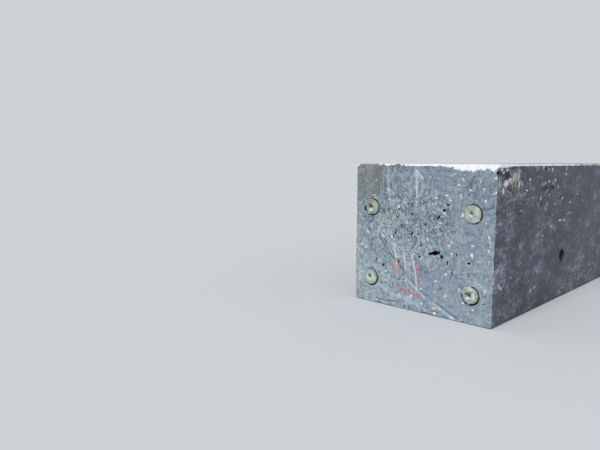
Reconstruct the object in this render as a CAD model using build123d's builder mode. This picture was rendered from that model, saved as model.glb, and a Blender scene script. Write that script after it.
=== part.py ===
from build123d import *
import os

# Bridge sleeper: a solid beam of recycled plastic, moulded round four steel bars, with a plastic plug
# over each end of each bar.
# X runs along the sleeper, Y across it and Z up. The origin is on the underside, below the middle.
# The marked end faces -X. Left and right are those of someone who faces that end, so +Y is left.

# Beam
sleeper_length = 2400
sleeper_width = 240
sleeper_height = 225
long_edge_radius = 5
end_edge_chamfer = 1

# Reinforcing bars: each cover runs from a face of the beam to the bar's axis
bar_diameter = 25
bar_side_cover = 33
bar_top_cover = 69
bar_bottom_cover = 41
bar_clearance = 0.25
bar_end_gap = 2

# End plugs, each in a pocket that is wider than the bar's bore, with a domed face that has a dish and a
# small blind hole in its middle
pocket_step = 1.25
plug_length = 40
plug_clearance = 0.2
plug_neck_length = 6
plug_neck_taper = 3
plug_rim_gap = 1.5
plug_rim_height = 1
plug_rim_bevel = 0.8
plug_dome_height = 1.5
plug_dish_radius = 5.5
plug_dish_depth = 2.5
plug_hole_radius = 2
plug_hole_depth = 6

# Pilot holes for the coach screws that hold a rail on each seat
rail_spacing = 1507
screw_spacing_along = 290
screw_spacing_across = 92
screw_hole_diameter = 19
screw_hole_depth = 125

# Holes through the width for the bolts that tie the sleeper to a bridge
bolt_hole_diameter = 22
bolt_hole_from_end = 250
bolt_hole_height = 72

# Sizes that follow from those above
half_length = sleeper_length / 2
bar_offset = sleeper_width / 2 - bar_side_cover
upper_bar_height = sleeper_height - bar_top_cover
bar_bore_radius = bar_diameter / 2 + bar_clearance
pocket_radius = bar_bore_radius + pocket_step
pocket_depth = plug_length + plug_clearance
bar_length = sleeper_length - 2 * (pocket_depth + bar_end_gap)
plug_radius = pocket_radius - plug_clearance
plug_face_radius = pocket_radius - plug_rim_gap
plug_top = plug_rim_height + plug_dome_height
bolt_hole_x = half_length - bolt_hole_from_end

# Each bar's place in the section, as its Y and Z
bar_places = {
    "upper_left": (bar_offset, upper_bar_height),
    "upper_right": (-bar_offset, upper_bar_height),
    "lower_left": (bar_offset, bar_bottom_cover),
    "lower_right": (-bar_offset, bar_bottom_cover),
}

# Each end's direction along X
ends = {"marked_end": -1, "plain_end": 1}

os.makedirs("parts", exist_ok=True)

# Beam: one moulded section with rounded long edges, sawn square at both ends
with BuildPart() as sleeper_body:
    with BuildSketch(Plane.YZ.offset(-half_length)):
        with Locations((0, sleeper_height / 2)):
            RectangleRounded(sleeper_width, sleeper_height, long_edge_radius)
    extrude(amount=sleeper_length)
    chamfer(sleeper_body.faces().filter_by(Axis.X).edges(), length=end_edge_chamfer)

    # Bores from end to end, which the bars fill
    with BuildSketch(Plane.YZ.offset(-half_length)):
        with Locations(*bar_places.values()):
            Circle(bar_bore_radius)
    extrude(amount=sleeper_length, mode=Mode.SUBTRACT)

    # Wider pockets for the plugs at both ends of each bore
    for outward in ends.values():
        with BuildSketch(Plane.YZ.offset(outward * half_length)):
            with Locations(*bar_places.values()):
                Circle(pocket_radius)
        extrude(amount=-outward * pocket_depth, mode=Mode.SUBTRACT)

    # Pilot holes in the top, four at each rail seat
    with Locations(Plane.XY.offset(sleeper_height)):
        with GridLocations(rail_spacing, 0, 2, 1):
            with GridLocations(screw_spacing_along, screw_spacing_across, 2, 2):
                Hole(screw_hole_diameter / 2, screw_hole_depth)

    # Bolt holes from side to side, one near each end
    with Locations(Plane.XZ):
        with Locations((-bolt_hole_x, bolt_hole_height), (bolt_hole_x, bolt_hole_height)):
            Hole(bolt_hole_diameter / 2)
sleeper_body.part.label = "sleeper_body"
export_step(sleeper_body.part, "parts/sleeper_body.step")

# Bars: round steel that stops just short of the plug pockets
for place, centre in bar_places.items():
    with BuildPart() as bar:
        with BuildSketch(Plane.YZ.offset(-bar_length / 2)):
            with Locations(centre):
                Circle(bar_diameter / 2)
        extrude(amount=bar_length)
    bar.part.label = "bar_" + place
    export_step(bar.part, "parts/" + bar.part.label + ".step")

# Plugs: turned shapes with a narrower neck that leaves a gap round the face
for end, outward in ends.items():
    for place, (y, z) in bar_places.items():
        face_centre = (outward * half_length, y, z)
        with BuildPart() as plug:
            # In this plane x is the distance from the plug's axis and y the height over the beam's end
            with BuildSketch(Plane(face_centre, x_dir=(0, 1, 0), z_dir=(0, 0, -outward))):
                with BuildLine():
                    Polyline(
                        (plug_dish_radius, plug_top),
                        (plug_hole_radius, plug_top - plug_dish_depth),
                        (plug_hole_radius, plug_top - plug_hole_depth),
                        (0, plug_top - plug_hole_depth),
                        (0, -plug_length),
                        (plug_radius, -plug_length),
                        (plug_radius, -plug_neck_length),
                        (plug_face_radius, plug_neck_taper - plug_neck_length),
                        (plug_face_radius, plug_rim_height - plug_rim_bevel),
                        (plug_face_radius - plug_rim_bevel, plug_rim_height),
                    )
                    TangentArc(
                        (plug_dish_radius, plug_top),
                        (plug_face_radius - plug_rim_bevel, plug_rim_height),
                        tangent=(1, 0),
                    )
                make_face()
            revolve(axis=Axis(face_centre, (outward, 0, 0)))
        plug.part.label = end + "_plug_" + place
        export_step(plug.part, "parts/" + plug.part.label + ".step")
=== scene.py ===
import math

import bpy
import numpy as np
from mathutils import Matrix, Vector


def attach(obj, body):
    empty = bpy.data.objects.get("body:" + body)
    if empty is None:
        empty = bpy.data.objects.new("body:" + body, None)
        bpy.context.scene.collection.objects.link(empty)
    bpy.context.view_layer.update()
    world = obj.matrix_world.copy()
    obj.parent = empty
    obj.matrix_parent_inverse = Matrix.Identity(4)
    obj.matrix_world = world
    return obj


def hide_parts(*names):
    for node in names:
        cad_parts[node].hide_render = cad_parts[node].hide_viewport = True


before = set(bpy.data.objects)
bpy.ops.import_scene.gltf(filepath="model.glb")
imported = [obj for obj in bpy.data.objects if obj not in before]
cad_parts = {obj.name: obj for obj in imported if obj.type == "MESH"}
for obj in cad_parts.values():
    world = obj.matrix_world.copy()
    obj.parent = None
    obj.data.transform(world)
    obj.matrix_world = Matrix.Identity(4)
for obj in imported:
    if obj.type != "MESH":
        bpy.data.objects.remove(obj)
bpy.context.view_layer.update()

# Reinforcing bars
# Four hot-rolled steel bars, 25 mm over their ribs, laid in the mould before the plastic is pressed round
# them. Each has two straight ribs from end to end and slanting ribs between them, which grip the plastic.
MM = 0.001
BAR_RADIUS, BAR_HALF_LENGTH = 12.5, 1157.8
BAR_RIB_HEIGHT, BAR_RIB_SPACING, BAR_RIB_LEAN = 1.1, 15.0, 12.0
BAR_RINGS, BAR_STEPS = 560, 20
BAR_PLACES = {
    "upper_left": (87.0, 156.0),
    "upper_right": (-87.0, 156.0),
    "lower_left": (87.0, 41.0),
    "lower_right": (-87.0, 41.0),
}
MILL_SCALE, BAR_RUST, BARE_STEEL = "#4a4644", "#7a4a2e", "#8b8784"


def linear(code):
    """An sRGB colour such as #87939b as linear red, green, blue and alpha: each part is divided by 12.92
    where it is dark, and is otherwise ((part + 0.055) / 1.055) to the power 2.4."""
    parts = np.array([int(code[start:start + 2], 16) for start in (1, 3, 5)]) / 255
    bright = ((parts + 0.055) / 1.055) ** 2.4
    return (*np.where(parts <= 0.04045, parts / 12.92, bright).tolist(), 1.0)


def new_material(name):
    """A material with an empty node tree, as (material, tree)."""
    material = bpy.data.materials.new(name)
    material.use_nodes = True
    material.node_tree.nodes.clear()
    return material, material.node_tree


def add(tree, kind, inputs=None, stops=None, **settings):
    """Adds a shader node with its settings, its inputs (a value, a socket, or a node whose first output is
    meant) and the stops of its ramp as (place, sRGB colour)."""
    made = tree.nodes.new("ShaderNode" + kind)
    for name, value in settings.items():
        setattr(made, name, value)
    for name, value in (inputs or {}).items():
        if isinstance(value, bpy.types.Node):
            value = value.outputs[0]
        if isinstance(value, bpy.types.NodeSocket):
            tree.links.new(value, made.inputs[name])
        else:
            made.inputs[name].default_value = value
    for number, (place, shade) in enumerate(stops or []):
        ramp = made.color_ramp.elements
        stop = ramp[number] if number < 2 else ramp.new(place)
        stop.position = place
        stop.color = linear(shade)
    return made


def weighted_sum(tree, start, parts):
    """A start plus each part times its weight, where the start and the parts may be nodes."""
    total = start
    for part, weight in parts:
        total = add(tree, "Math", {0: part, 1: weight, 2: total}, operation="MULTIPLY_ADD")
    return total


def finish_surface(tree, colour, roughness, height, bump, depth, more):
    """Ends a material with its surface: a colour, a roughness, a relief of `depth` metres for each 1 of the
    height, felt at a strength of `bump`, and more inputs by name."""
    relief = add(tree, "Bump", {"Height": height, "Strength": bump, "Distance": depth})
    inputs = {"Base Color": colour, "Roughness": roughness, "Normal": relief, **more}
    add(tree, "OutputMaterial", {"Surface": add(tree, "BsdfPrincipled", inputs)})


def steps_round(count):
    """Angles of even steps round a circle."""
    return np.arange(count) * (2 * math.pi / count)


def rings_about(centre, along, radius):
    """Rings of points round an axis that runs along X: one ring for each place along it. Each point is its
    own radius times (cos, sin) of its angle away from the centre."""
    angle = steps_round(radius.shape[1])
    rings = np.empty(radius.shape + (3,))
    rings[..., 0] = along[:, None]
    rings[..., 1] = centre[0] + radius * np.cos(angle)
    rings[..., 2] = centre[1] + radius * np.sin(angle)
    return rings


def grid_faces(rows, columns, closed=True):
    """Corner numbers of a grid's faces. Where it is closed, the last column of points joins the first."""
    steps = columns if closed else columns - 1
    row, column = np.meshgrid(np.arange(rows - 1), np.arange(steps), indexing="ij")
    following = (column + 1) % columns
    numbers = [row * columns + column, row * columns + following,
               (row + 1) * columns + following, (row + 1) * columns + column]
    return np.stack(numbers, -1).reshape(-1, 4)


def closed_tube(rings):
    """Points and faces of a tube through rings of points, with a fan of triangles over each end to the
    mean of its ring. The faces point outwards where the rings turn from Y to Z as they go along X, or the
    other way round as they come back along X."""
    rows, columns = rings.shape[:2]
    points = np.concatenate([rings.reshape(-1, 3), rings[:1].mean(1), rings[-1:].mean(1)])
    faces = grid_faces(rows, columns).tolist()
    column = np.arange(columns)
    following = (column + 1) % columns
    last = (rows - 1) * columns
    start, end = np.full(columns, rows * columns), np.full(columns, rows * columns + 1)
    faces += np.stack([start, following, column], -1).tolist()
    faces += np.stack([end, last + column, last + following], -1).tolist()
    return points, faces


def make_piece(name, points, faces, materials, crisp_angle=35):
    """A mesh object from points in millimetres and lists of corner numbers, smooth up to the crisp angle."""
    mesh = bpy.data.meshes.new(name)
    mesh.from_pydata((np.asarray(points) * MM).tolist(), [], faces)
    for material in materials:
        mesh.materials.append(material)
    mesh.shade_smooth()
    mesh.set_sharp_from_angle(angle=math.radians(crisp_angle))
    piece = bpy.data.objects.new(name, mesh)
    bpy.context.scene.collection.objects.link(piece)
    return piece


def ribbed_bar(centre):
    """Rings of a bar, from place along it and angle round it. The radius is that of the core plus a straight
    rib where the angle is near 0 or 180 degrees, or else plus a rib wherever the place along, shifted by
    the sine of the angle, comes to a whole rib spacing."""
    along = np.linspace(-BAR_HALF_LENGTH, BAR_HALF_LENGTH, BAR_RINGS)
    angle = steps_round(BAR_STEPS)
    turn = (along[:, None] + BAR_RIB_LEAN * np.abs(np.sin(angle))) * (2 * math.pi / BAR_RIB_SPACING)
    slanting = np.clip(np.cos(turn) * 1.6 - 0.6, 0, 1) * np.abs(np.sin(angle))
    height = np.where(np.abs(np.cos(angle)) > 0.98, 1.0, slanting)
    return rings_about(centre, along, BAR_RADIUS - BAR_RIB_HEIGHT * (1 - height))


# Hot-rolled steel: dark mill scale, rubbed bright on the ribs, with a bloom of rust in patches.
bar_steel, tree = new_material("hot_rolled_bar_steel")
place = add(tree, "TexCoord").outputs["Object"]
patches = add(tree, "TexNoise", {"Vector": place, "Scale": 28.0, "Detail": 6.0, "Roughness": 0.65})
rust = add(tree, "ValToRGB", {"Fac": patches}, [(0.42, MILL_SCALE), (0.58, BAR_RUST), (0.5, "#5a4638")])
rubbed = add(tree, "NewGeometry").outputs["Pointiness"]
bright = add(tree, "MapRange", {"Value": rubbed, "From Min": 0.5, "From Max": 0.56})
finish = add(tree, "Mix", {0: bright, 6: rust, 7: linear(BARE_STEEL)}, data_type="RGBA")
grain = add(tree, "TexNoise", {"Vector": place, "Scale": 900.0, "Detail": 3.0})
rough = add(tree, "MapRange", {"Value": patches, "To Min": 0.38, "To Max": 0.8})
finish_surface(tree, finish.outputs[2], rough, grain, 0.3, 0.0004, {"Metallic": 0.85})

for place_name, centre in BAR_PLACES.items():
    bar = make_piece("ribbed_bar_" + place_name, *closed_tube(ribbed_bar(centre)), [bar_steel])
    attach(bar, "root")
    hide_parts("bar_" + place_name)

# Sleeper body
# One beam of mixed recycled plastic, pressed hot into a long mould as chopped flakes. The long sides are
# the mould's dark skin; the ends are sawn, which shows every flake, the pores and the folds of the melt.
HALF_LENGTH, HALF_WIDTH, HEIGHT = 1200.0, 120.0, 225.0
LONG_EDGE_RADIUS = 5.0
CELLS_ACROSS, CELLS_UP = 140, 132
RINGS_MARKED_HALF, RINGS_PLAIN_HALF = 52, 32
FIRST_STEP_MARKED, FIRST_STEP_PLAIN = 1.6, 2.2
BORE_RADIUS, POCKET_RADIUS, POCKET_DEPTH = 12.75, 14.0, 40.2
SCREW_HOLE_RADIUS, SCREW_HOLE_DEPTH = 9.5, 125.0
RAIL_SEAT_X, SCREW_HOLE_ALONG, SCREW_HOLE_ACROSS = 753.5, 145.0, 46.0
BOLT_HOLE_RADIUS, BOLT_HOLE_X, BOLT_HOLE_HEIGHT = 11.0, 950.0, 72.0
SAW_EDGE = 0.7
MIDDLE_DENTS, OTHER_DENTS, DEEPEST_DENT = 300, 150, 1.3
FOLD_DEPTH, FOLD_HALF_WIDTH = 0.7, 1.7
PLASTIC_IOR = 1.49

# Pores that the saw opened: centre (y, z), half-length, half-height, slope in degrees and depth.
# Slopes are as seen facing the end, where +Y is to the left.
MARKED_END_PORES = [
    ((-30, 95), 6.4, 3.3, 12, 13), ((-22, 93), 3.6, 2.3, 10, 8), ((-40, 90.4), 2.3, 3.2, -8, 10),
    ((-37, 97.5), 1.7, 1.3, 0, 5), ((-83, 87), 3, 1.5, -5, 6), ((-49.5, 82.2), 1.1, 3.6, 0, 4),
    ((-57.5, 68.3), 1.1, 3.9, 0, 4), ((-64, 97), 1, 2.4, 0, 3), ((-3, 86.5), 1.8, 2, 0, 5),
    ((34, 74.2), 1.7, 1.6, 0, 4), ((-48, 167), 1.9, 1.8, 0, 4), ((-34, 148.2), 1.5, 4, -32, 6),
    ((-42.3, 159), 1.8, 3, -40, 5), ((41, 119.5), 1.4, 4, -24, 5), ((13, 150), 1.4, 1.6, 0, 4),
    ((38, 143), 1.4, 1.5, 0, 4), ((36, 155.5), 1.4, 2.2, -30, 4), ((101.5, 139), 1.5, 1.3, 0, 3),
    ((63, 65), 2.4, 1.9, 20, 4), ((77.5, 72), 1.6, 1.8, -30, 3), ((61, 19), 1.8, 1.2, 15, 3),
    ((12, 120), 1.2, 3.6, -25, 4), ((-5, 104), 1.2, 3, -28, 4), ((30, 131), 1.2, 2.6, 30, 4),
    ((-12, 136), 1.1, 2.6, -20, 4), ((-119, 213), 2.6, 2.8, 0, 4), ((-107, 33), 2, 0.9, 35, 2),
    ((101, 153), 1.9, 4, 0, 3),
]
PLAIN_END_PORES = [
    ((22, 121), 5.2, 2.4, -30, 9), ((-8, 104), 2.2, 3.1, 20, 7), ((47, 88), 1.8, 1.7, 0, 5),
    ((-36, 132), 1.6, 3.6, 15, 5), ((5, 142), 1.6, 1.5, 0, 4), ((71, 110), 2.6, 1.4, 10, 4),
    ((-61, 71), 1.3, 2.8, 25, 4), ((33, 149), 1.4, 2.4, -20, 4),
]
# Hollows knocked out of the right-hand side near the marked end: distance from that end and height, then
# as above
SIDE_HOLLOWS = [
    ((7, 212.5), 3.8, 3, 0, 2), ((28, 209.5), 9.5, 4.6, -8, 3), ((46, 219.6), 6, 2.4, 0, 2),
    ((161, 187), 14, 3.6, 11, 2), ((191, 188.2), 8.5, 3.8, 0, 2), ((150, 165), 3.6, 2.2, 0, 2),
    ((228, 170.4), 4, 2.2, 30, 2), ((161, 218.2), 6, 2.2, 0, 2), ((176, 219.4), 4, 1.8, 0, 2),
]

# What the saw, the melt and the weather left on the ends, with some painted light, as lines of (y, z)
# corners in millimetres, for the marked end (-1) and the plain end (1). The dark lines are folds of the
# melt, with a groove, and their dark colour is partly painted shade in the fold. The light lines are pale
# arcs of the melt, and just below some dark folds a painted highlight on the fold's lit lower side.
DARK_LINES = {
    -1: [
        [(77, 115), (63, 98), (47, 80), (34, 70), (13, 48), (-10, 31), (-33, 20), (-54, 10), (-80, -1)],
        [(0, 122), (3, 112), (5, 104), (12, 96), (17, 90), (14, 82)],
        [(-101, 162), (-110, 165), (-117, 167)],
        [(78, 8), (59, 7), (37, 9.5)],
        [(-86, 207), (-80, 195), (-83, 188)],
    ],
    1: [
        [(-84, 60), (-52, 71), (-20, 66), (14, 47), (41, 38), (84, 41)],
        [(18, 152), (12, 139), (15, 127)],
        [(-70, 196), (-38, 190), (-6, 199)],
    ],
}
LIGHT_LINES = {
    -1: [
        [(18, 51), (9, 42), (-15, 25), (-38, 14), (-60, 3.5)],
        [(77, 33), (62, 27), (48, 21), (30, 18), (11, 13.5), (-15, 8)],
        [(104, 58), (92, 60), (80, 61), (68, 56), (60, 46)],
        [(-100, 60), (-110, 50)],
        [(-90, 63), (-98, 59)],
    ],
    1: [
        [(-84, 56), (-52, 67), (-20, 62), (14, 43), (41, 34), (84, 37)],
        [(-100, 22), (-58, 15), (-24, 18)],
    ],
}
CHALK_ARROW = [[(4, 173), (5.5, 195), (6, 215)], [(-6, 202), (6, 215.5), (16, 201)]]
CHALK_STROKES = [
    [(44, 102), (39, 76), (35, 46)],
    [(28, 97), (22, 70), (19, 41)],
    [(11, 88), (4, 62), (0, 34)],
]
CHALK_UNDERLINE = [
    [(38, 37), (31, 33), (18, 29), (5, 26), (-8, 23)],
    [(39, 70), (35, 52)],
    [(2, 74), (-3, 50)],
]


def ripple(points, size, seed, waves=14):
    """Smooth random heights with a spread of 1: a sum of sine waves about `size` mm long, each in its own
    random direction, divided by the square root of half their number."""
    random = np.random.default_rng(seed)
    direction = random.normal(size=(waves, 3))
    direction /= np.linalg.norm(direction, axis=1, keepdims=True)
    direction *= 2 * math.pi / (size * random.uniform(0.7, 1.5, (waves, 1)))
    return np.sin(points @ direction.T + random.uniform(0, 6.28, waves)).sum(1) / math.sqrt(waves / 2)


def bump_between(value, low, high, soft):
    """1 between low and high, falling smoothly to 0 over the soft length outside them."""
    rise = np.clip((value - low) / soft + 1, 0, 1)
    fall = np.clip((high - value) / soft + 1, 0, 1)
    return (rise * rise * (3 - 2 * rise)) * (fall * fall * (3 - 2 * fall))


def line_field(places, lines, reach=8.0):
    """For each (y, z) place: its distance from the nearest line, positive on one side and negative on the
    other; 1 if the line is within reach and the place isn't past its ends, or else 0; and how strong the
    lines are there, which is 1.2 plus a slow ripple, kept between 0 and 1, so that they fade in places."""
    nearest = np.full(len(places), 99.0)
    beside = np.zeros(len(places))
    strength = np.clip(1.2 + 0.5 * ripple(np.pad(places, ((0, 0), (1, 0))), 34, 31), 0, 1)
    for line in lines:
        corners = np.array(line, float)
        for step, (start, end) in enumerate(zip(corners[:-1], corners[1:])):
            run = end - start
            offset = places - start
            along = offset @ run / (run @ run)
            away = np.linalg.norm(offset - np.clip(along, 0, 1)[:, None] * run, axis=1)
            past = ((along < 0) & (step == 0)) | ((along > 1) & (step == len(corners) - 2))
            side = np.where(run[0] * offset[:, 1] > run[1] * offset[:, 0], 1, -1)
            closer = away < np.abs(nearest)
            nearest = np.where(closer, away * side, nearest)
            beside = np.where(closer, (away < reach) & ~past, beside)
    return np.stack([np.clip(nearest, -9, 9), beside, strength], -1)


def broken_depth(y):
    """How far down the marked end's top edge is broken off at each y: deeply on the right, with a lobe near
    its end, and only a burr's height on the left, both changed a little by a ripple."""
    along = np.stack([0 * y, y, 0 * y], -1)
    deep = 2.2 + 5.0 * bump_between(y, -125, -66, 26) + 1.8 * bump_between(y, -84, -76, 6)
    deep *= 1 + 0.12 * ripple(along, 14, 5)
    return np.where(y > 26, 0.9 + 0.4 * ripple(along, 11, 6) + 0.35 * ripple(along, 5, 16), deep)


def bend_corners(y, z):
    """Bends the square corners of the section to their radius: in each corner's square, the place (a, b)
    counted from its inner corner goes to (a * sqrt(1 - b * b / 2), b * sqrt(1 - a * a / 2))."""
    flat_y, flat_z = HALF_WIDTH - LONG_EDGE_RADIUS, HEIGHT / 2 - LONG_EDGE_RADIUS
    side, above = np.sign(y), np.sign(z - HEIGHT / 2)
    y, z = np.abs(y), np.abs(z - HEIGHT / 2)
    a = np.clip((y - flat_y) / LONG_EDGE_RADIUS, 0, 1)
    b = np.clip((z - flat_z) / LONG_EDGE_RADIUS, 0, 1)
    y = np.minimum(y, flat_y) + LONG_EDGE_RADIUS * a * np.sqrt(1 - b * b / 2)
    z = np.minimum(z, flat_z) + LONG_EDGE_RADIUS * b * np.sqrt(1 - a * a / 2)
    return side * y, above * z + HEIGHT / 2


def ring_places(count, first):
    """Distances from an end to the middle, each step longer than the last by the ratio that fits."""
    ratios = np.linspace(1.001, 1.4, 4000)
    reach = first * (ratios ** count - 1) / (ratios - 1)
    distance = np.cumsum(first * ratios[np.argmin(np.abs(reach - HALF_LENGTH))] ** np.arange(count))
    return distance * (HALF_LENGTH / distance[-1])


# The flat grid of an end, its rim, and the direction outwards at each point of the rim
across, up = np.meshgrid(np.linspace(-HALF_WIDTH, HALF_WIDTH, CELLS_ACROSS + 1),
                         np.linspace(0, HEIGHT, CELLS_UP + 1), indexing="ij")
end_y, end_z = bend_corners(across.ravel(), up.ravel())
number = np.arange(end_y.size).reshape(across.shape)
rim = np.concatenate([number[:-1, 0], number[-1, :-1], number[:0:-1, -1], number[0, :0:-1]])
rim_place = np.stack([end_y[rim], end_z[rim]], -1)
rim_run = np.roll(rim_place, -1, axis=0) - np.roll(rim_place, 1, axis=0)
rim_out = np.stack([rim_run[:, 1], -rim_run[:, 0]], -1) / np.linalg.norm(rim_run, axis=1, keepdims=True)

# The rings of the sides lie closer together towards the ends; the outermost lie 1 mm in from them
ring_x = np.concatenate([ring_places(RINGS_MARKED_HALF, FIRST_STEP_MARKED) - HALF_LENGTH,
                         HALF_LENGTH - ring_places(RINGS_PLAIN_HALF, FIRST_STEP_PLAIN)[-2::-1]])
ring_x = np.concatenate([[1 - HALF_LENGTH], ring_x[:-1] + 0.6, [HALF_LENGTH - 1]])
sides = np.empty((len(ring_x), rim.size, 3))
sides[..., 0] = ring_x[:, None]
sides[..., 1:] = rim_place
marked_end = np.stack([np.full(end_y.size, -HALF_LENGTH), end_y, end_z], -1)
body_points = np.concatenate([marked_end, sides.reshape(-1, 3), marked_end * (-1, 1, 1)])
sides_start, sides_end = end_y.size, end_y.size + sides.shape[0] * rim.size
on_sides = slice(sides_start, sides_end)

# Both ends share their rims' points with the sides
rings = sides_start + np.arange(sides.shape[0] * rim.size).reshape(sides.shape[:2])
loops = np.concatenate([rim[None], rings, (sides_end + rim)[None]])
following = np.roll(loops, -1, axis=1)
side_faces = np.stack([loops[:-1], following[:-1], following[1:], loops[1:]], -1).reshape(-1, 4)
end_faces = grid_faces(CELLS_ACROSS + 1, CELLS_UP + 1, closed=False)
body_faces = np.concatenate([side_faces, end_faces, end_faces[:, ::-1] + sides_end])
is_sawn = np.arange(len(body_faces)) >= len(side_faces)


def break_edge(points, end, face_way, end_size, face_size):
    """Breaks the edge between an end and a face of the beam. With the distances of a point from both as
    parts of the break's two sizes, a point whose parts add up to less than 1 moves the same way inwards
    from both until they come to 1. The sizes may change along the edge."""
    end_way, face_way = np.array([end, 0, 0]), np.array(face_way)
    both_ways = end_way + face_way
    from_centre = points - (0, 0, HEIGHT / 2)
    inside = (HALF_LENGTH, HALF_WIDTH, HEIGHT / 2) - np.abs(from_centre) * np.sign(from_centre * both_ways)
    from_end, from_face = inside @ np.abs(end_way), inside @ np.abs(face_way)
    step = np.clip(1 - from_end / end_size - from_face / face_size, 0, 1) / (1 / end_size + 1 / face_size)
    return points - step[:, None] * both_ways


# Slow waves of the moulded skin, and sawn edges that are nicked at random
skin_wave = 0.25 + 0.12 * ripple(body_points * (0.35, 1, 1), 160, 1)
skin_wave += 0.05 * ripple(body_points * (0.5, 1, 1), 45, 2)
skin_wave = np.clip(skin_wave[on_sides], 0, 1)
body_points[on_sides, 1:] -= np.tile(rim_out, (sides.shape[0], 1)) * skin_wave[:, None]
for start in (0, sides_end):
    edge = body_points[start + rim]
    nick = SAW_EDGE + 0.35 * np.abs(ripple(edge, 9, 3)) + 0.5 * np.clip(ripple(edge, 26, 4) - 0.6, 0, 2)
    body_points[start + rim, 1:] -= rim_out * nick[:, None]

# The marked end's top edge is broken off; every other edge of both ends has small chips
drop = broken_depth(body_points[:, 1])
body_points = break_edge(body_points, -1, (0, 0, 1), np.maximum(drop * 1.3, 1), np.maximum(drop, 0.8))
chipped_edges = [
    (-1, (0, 0, -1), 7), (-1, (0, -1, 0), 8), (-1, (0, 1, 0), 9),
    (1, (0, 0, -1), 47), (1, (0, -1, 0), 48), (1, (0, 1, 0), 49), (1, (0, 0, 1), 50),
]
for end, face_way, seed in chipped_edges:
    along_edge = body_points * (0, face_way[1] == 0, face_way[2] == 0)
    chip = 0.9 + 1.1 * np.clip(ripple(along_edge, 22, seed) - 0.7, 0, 2)
    chip += 0.5 * np.clip(ripple(along_edge, 7, seed + 30), 0, 2)
    body_points = break_edge(body_points, end, face_way, chip * 0.9, chip)

# Torn flakes leave shallow round dents in the sawn ends, mostly in the coarse middle, and the saw's heat
# leaves the folds of the melt as grooves
random = np.random.default_rng(11)
for start, end in ((0, -1), (sides_end, 1)):
    sawn = slice(start, start + end_y.size)
    centres = np.concatenate([random.normal((4, 131), (30, 30), (MIDDLE_DENTS, 2)),
                              random.uniform((-116, 4), (116, 220), (OTHER_DENTS, 2))])
    sizes = random.uniform(1.6, 3.2, len(centres))
    depths = np.minimum(random.gamma(2, 0.22, len(centres)), DEEPEST_DENT)
    sunk = np.abs(ripple(body_points[sawn], 5, 12)) * 0.12 + np.abs(ripple(body_points[sawn], 30, 13)) * 0.12
    for (dent_y, dent_z), size, depth in zip(centres, sizes, depths):
        away = ((body_points[sawn, 1] - dent_y) ** 2 + (body_points[sawn, 2] - dent_z) ** 2) / size ** 2
        sunk += depth * np.exp(-away * 1.2)
    fold = line_field(body_points[sawn, 1:], DARK_LINES[end])
    sunk += FOLD_DEPTH * np.exp(-(fold[:, 0] / FOLD_HALF_WIDTH) ** 2) * fold[:, 1] * fold[:, 2]
    body_points[sawn, 0] -= end * sunk

body_points = np.clip(body_points, (-HALF_LENGTH, -HALF_WIDTH, 0), (HALF_LENGTH, HALF_WIDTH, HEIGHT))


def round_cutter(profile, centre, axis, steps=64):
    """A round cutter from (place along the axis, radius) pairs: rings round an axis along X, with the axes
    then moved round so that it runs along X, Y or Z."""
    along, radius = np.array(profile, float).T
    rings = rings_about(centre, along, radius[:, None] * np.ones(steps))
    return closed_tube(np.roll(rings, "XYZ".index(axis), axis=-1))


def hollow_cutter(centre, half_sizes, slope, seed, turns=0):
    """A lumpy ball that opens a hollow: a sphere with its radius changed by a ripple, stretched to its
    half-sizes along X, Y and Z, turned by its slope about X, and with its axes then moved round."""
    polar = np.linspace(0.12, math.pi - 0.12, 12)[:, None]
    angle = steps_round(20)
    ball = np.stack([-np.cos(polar) + 0 * angle, np.sin(polar) * np.cos(angle),
                     np.sin(polar) * np.sin(angle)], -1)
    ball *= 1 + 0.17 * ripple(ball.reshape(-1, 3), 1.3, seed).reshape(ball.shape[:2])[..., None]
    ball *= half_sizes
    turn = math.radians(slope)
    y, z = ball[..., 1].copy(), ball[..., 2].copy()
    ball[..., 1] = y * math.cos(turn) + z * math.sin(turn)
    ball[..., 2] = z * math.cos(turn) - y * math.sin(turn)
    return closed_tube(np.roll(ball, turns, axis=-1) + centre)


def joined(meshes):
    """Several (points, faces) as one."""
    points, faces = [], []
    for more_points, more_faces in meshes:
        faces += [[corner + len(points) for corner in face] for face in more_faces]
        points += more_points.tolist()
    return points, faces


moulded_skin, skin_tree = new_material("moulded_recycled_plastic_skin")
sawn_end, sawn_tree = new_material("sawn_recycled_plastic_end")
drilled_wall, drilled_tree = new_material("drilled_recycled_plastic")
torn_pore, pore_tree = new_material("open_pore_in_recycled_plastic")
gouged_skin, gouged_tree = new_material("gouged_recycled_plastic")

# Cutters for the bores, the pilot holes and the bolt holes, which reach 5 mm past the faces that they open
inner, past_end, past_side = HALF_LENGTH - POCKET_DEPTH, HALF_LENGTH + 5, HALF_WIDTH + 5
bore = [(-past_end, POCKET_RADIUS), (-inner, POCKET_RADIUS), (-inner, BORE_RADIUS),
        (inner, BORE_RADIUS), (inner, POCKET_RADIUS), (past_end, POCKET_RADIUS)]
screw_hole = [(HEIGHT - SCREW_HOLE_DEPTH, SCREW_HOLE_RADIUS), (HEIGHT + 5, SCREW_HOLE_RADIUS)]
bolt_hole = [(-past_side, BOLT_HOLE_RADIUS), (past_side, BOLT_HOLE_RADIUS)]
drilled = [round_cutter(bore, centre, "X") for centre in BAR_PLACES.values()]
for seat_x in (-RAIL_SEAT_X, RAIL_SEAT_X):
    for hole_x in (seat_x - SCREW_HOLE_ALONG, seat_x + SCREW_HOLE_ALONG):
        for hole_y in (-SCREW_HOLE_ACROSS, SCREW_HOLE_ACROSS):
            drilled.append(round_cutter(screw_hole, (hole_x, hole_y), "Z", 48))
for hole_x in (-BOLT_HOLE_X, BOLT_HOLE_X):
    drilled.append(round_cutter(bolt_hole, (BOLT_HOLE_HEIGHT, hole_x), "Y", 48))

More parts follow.
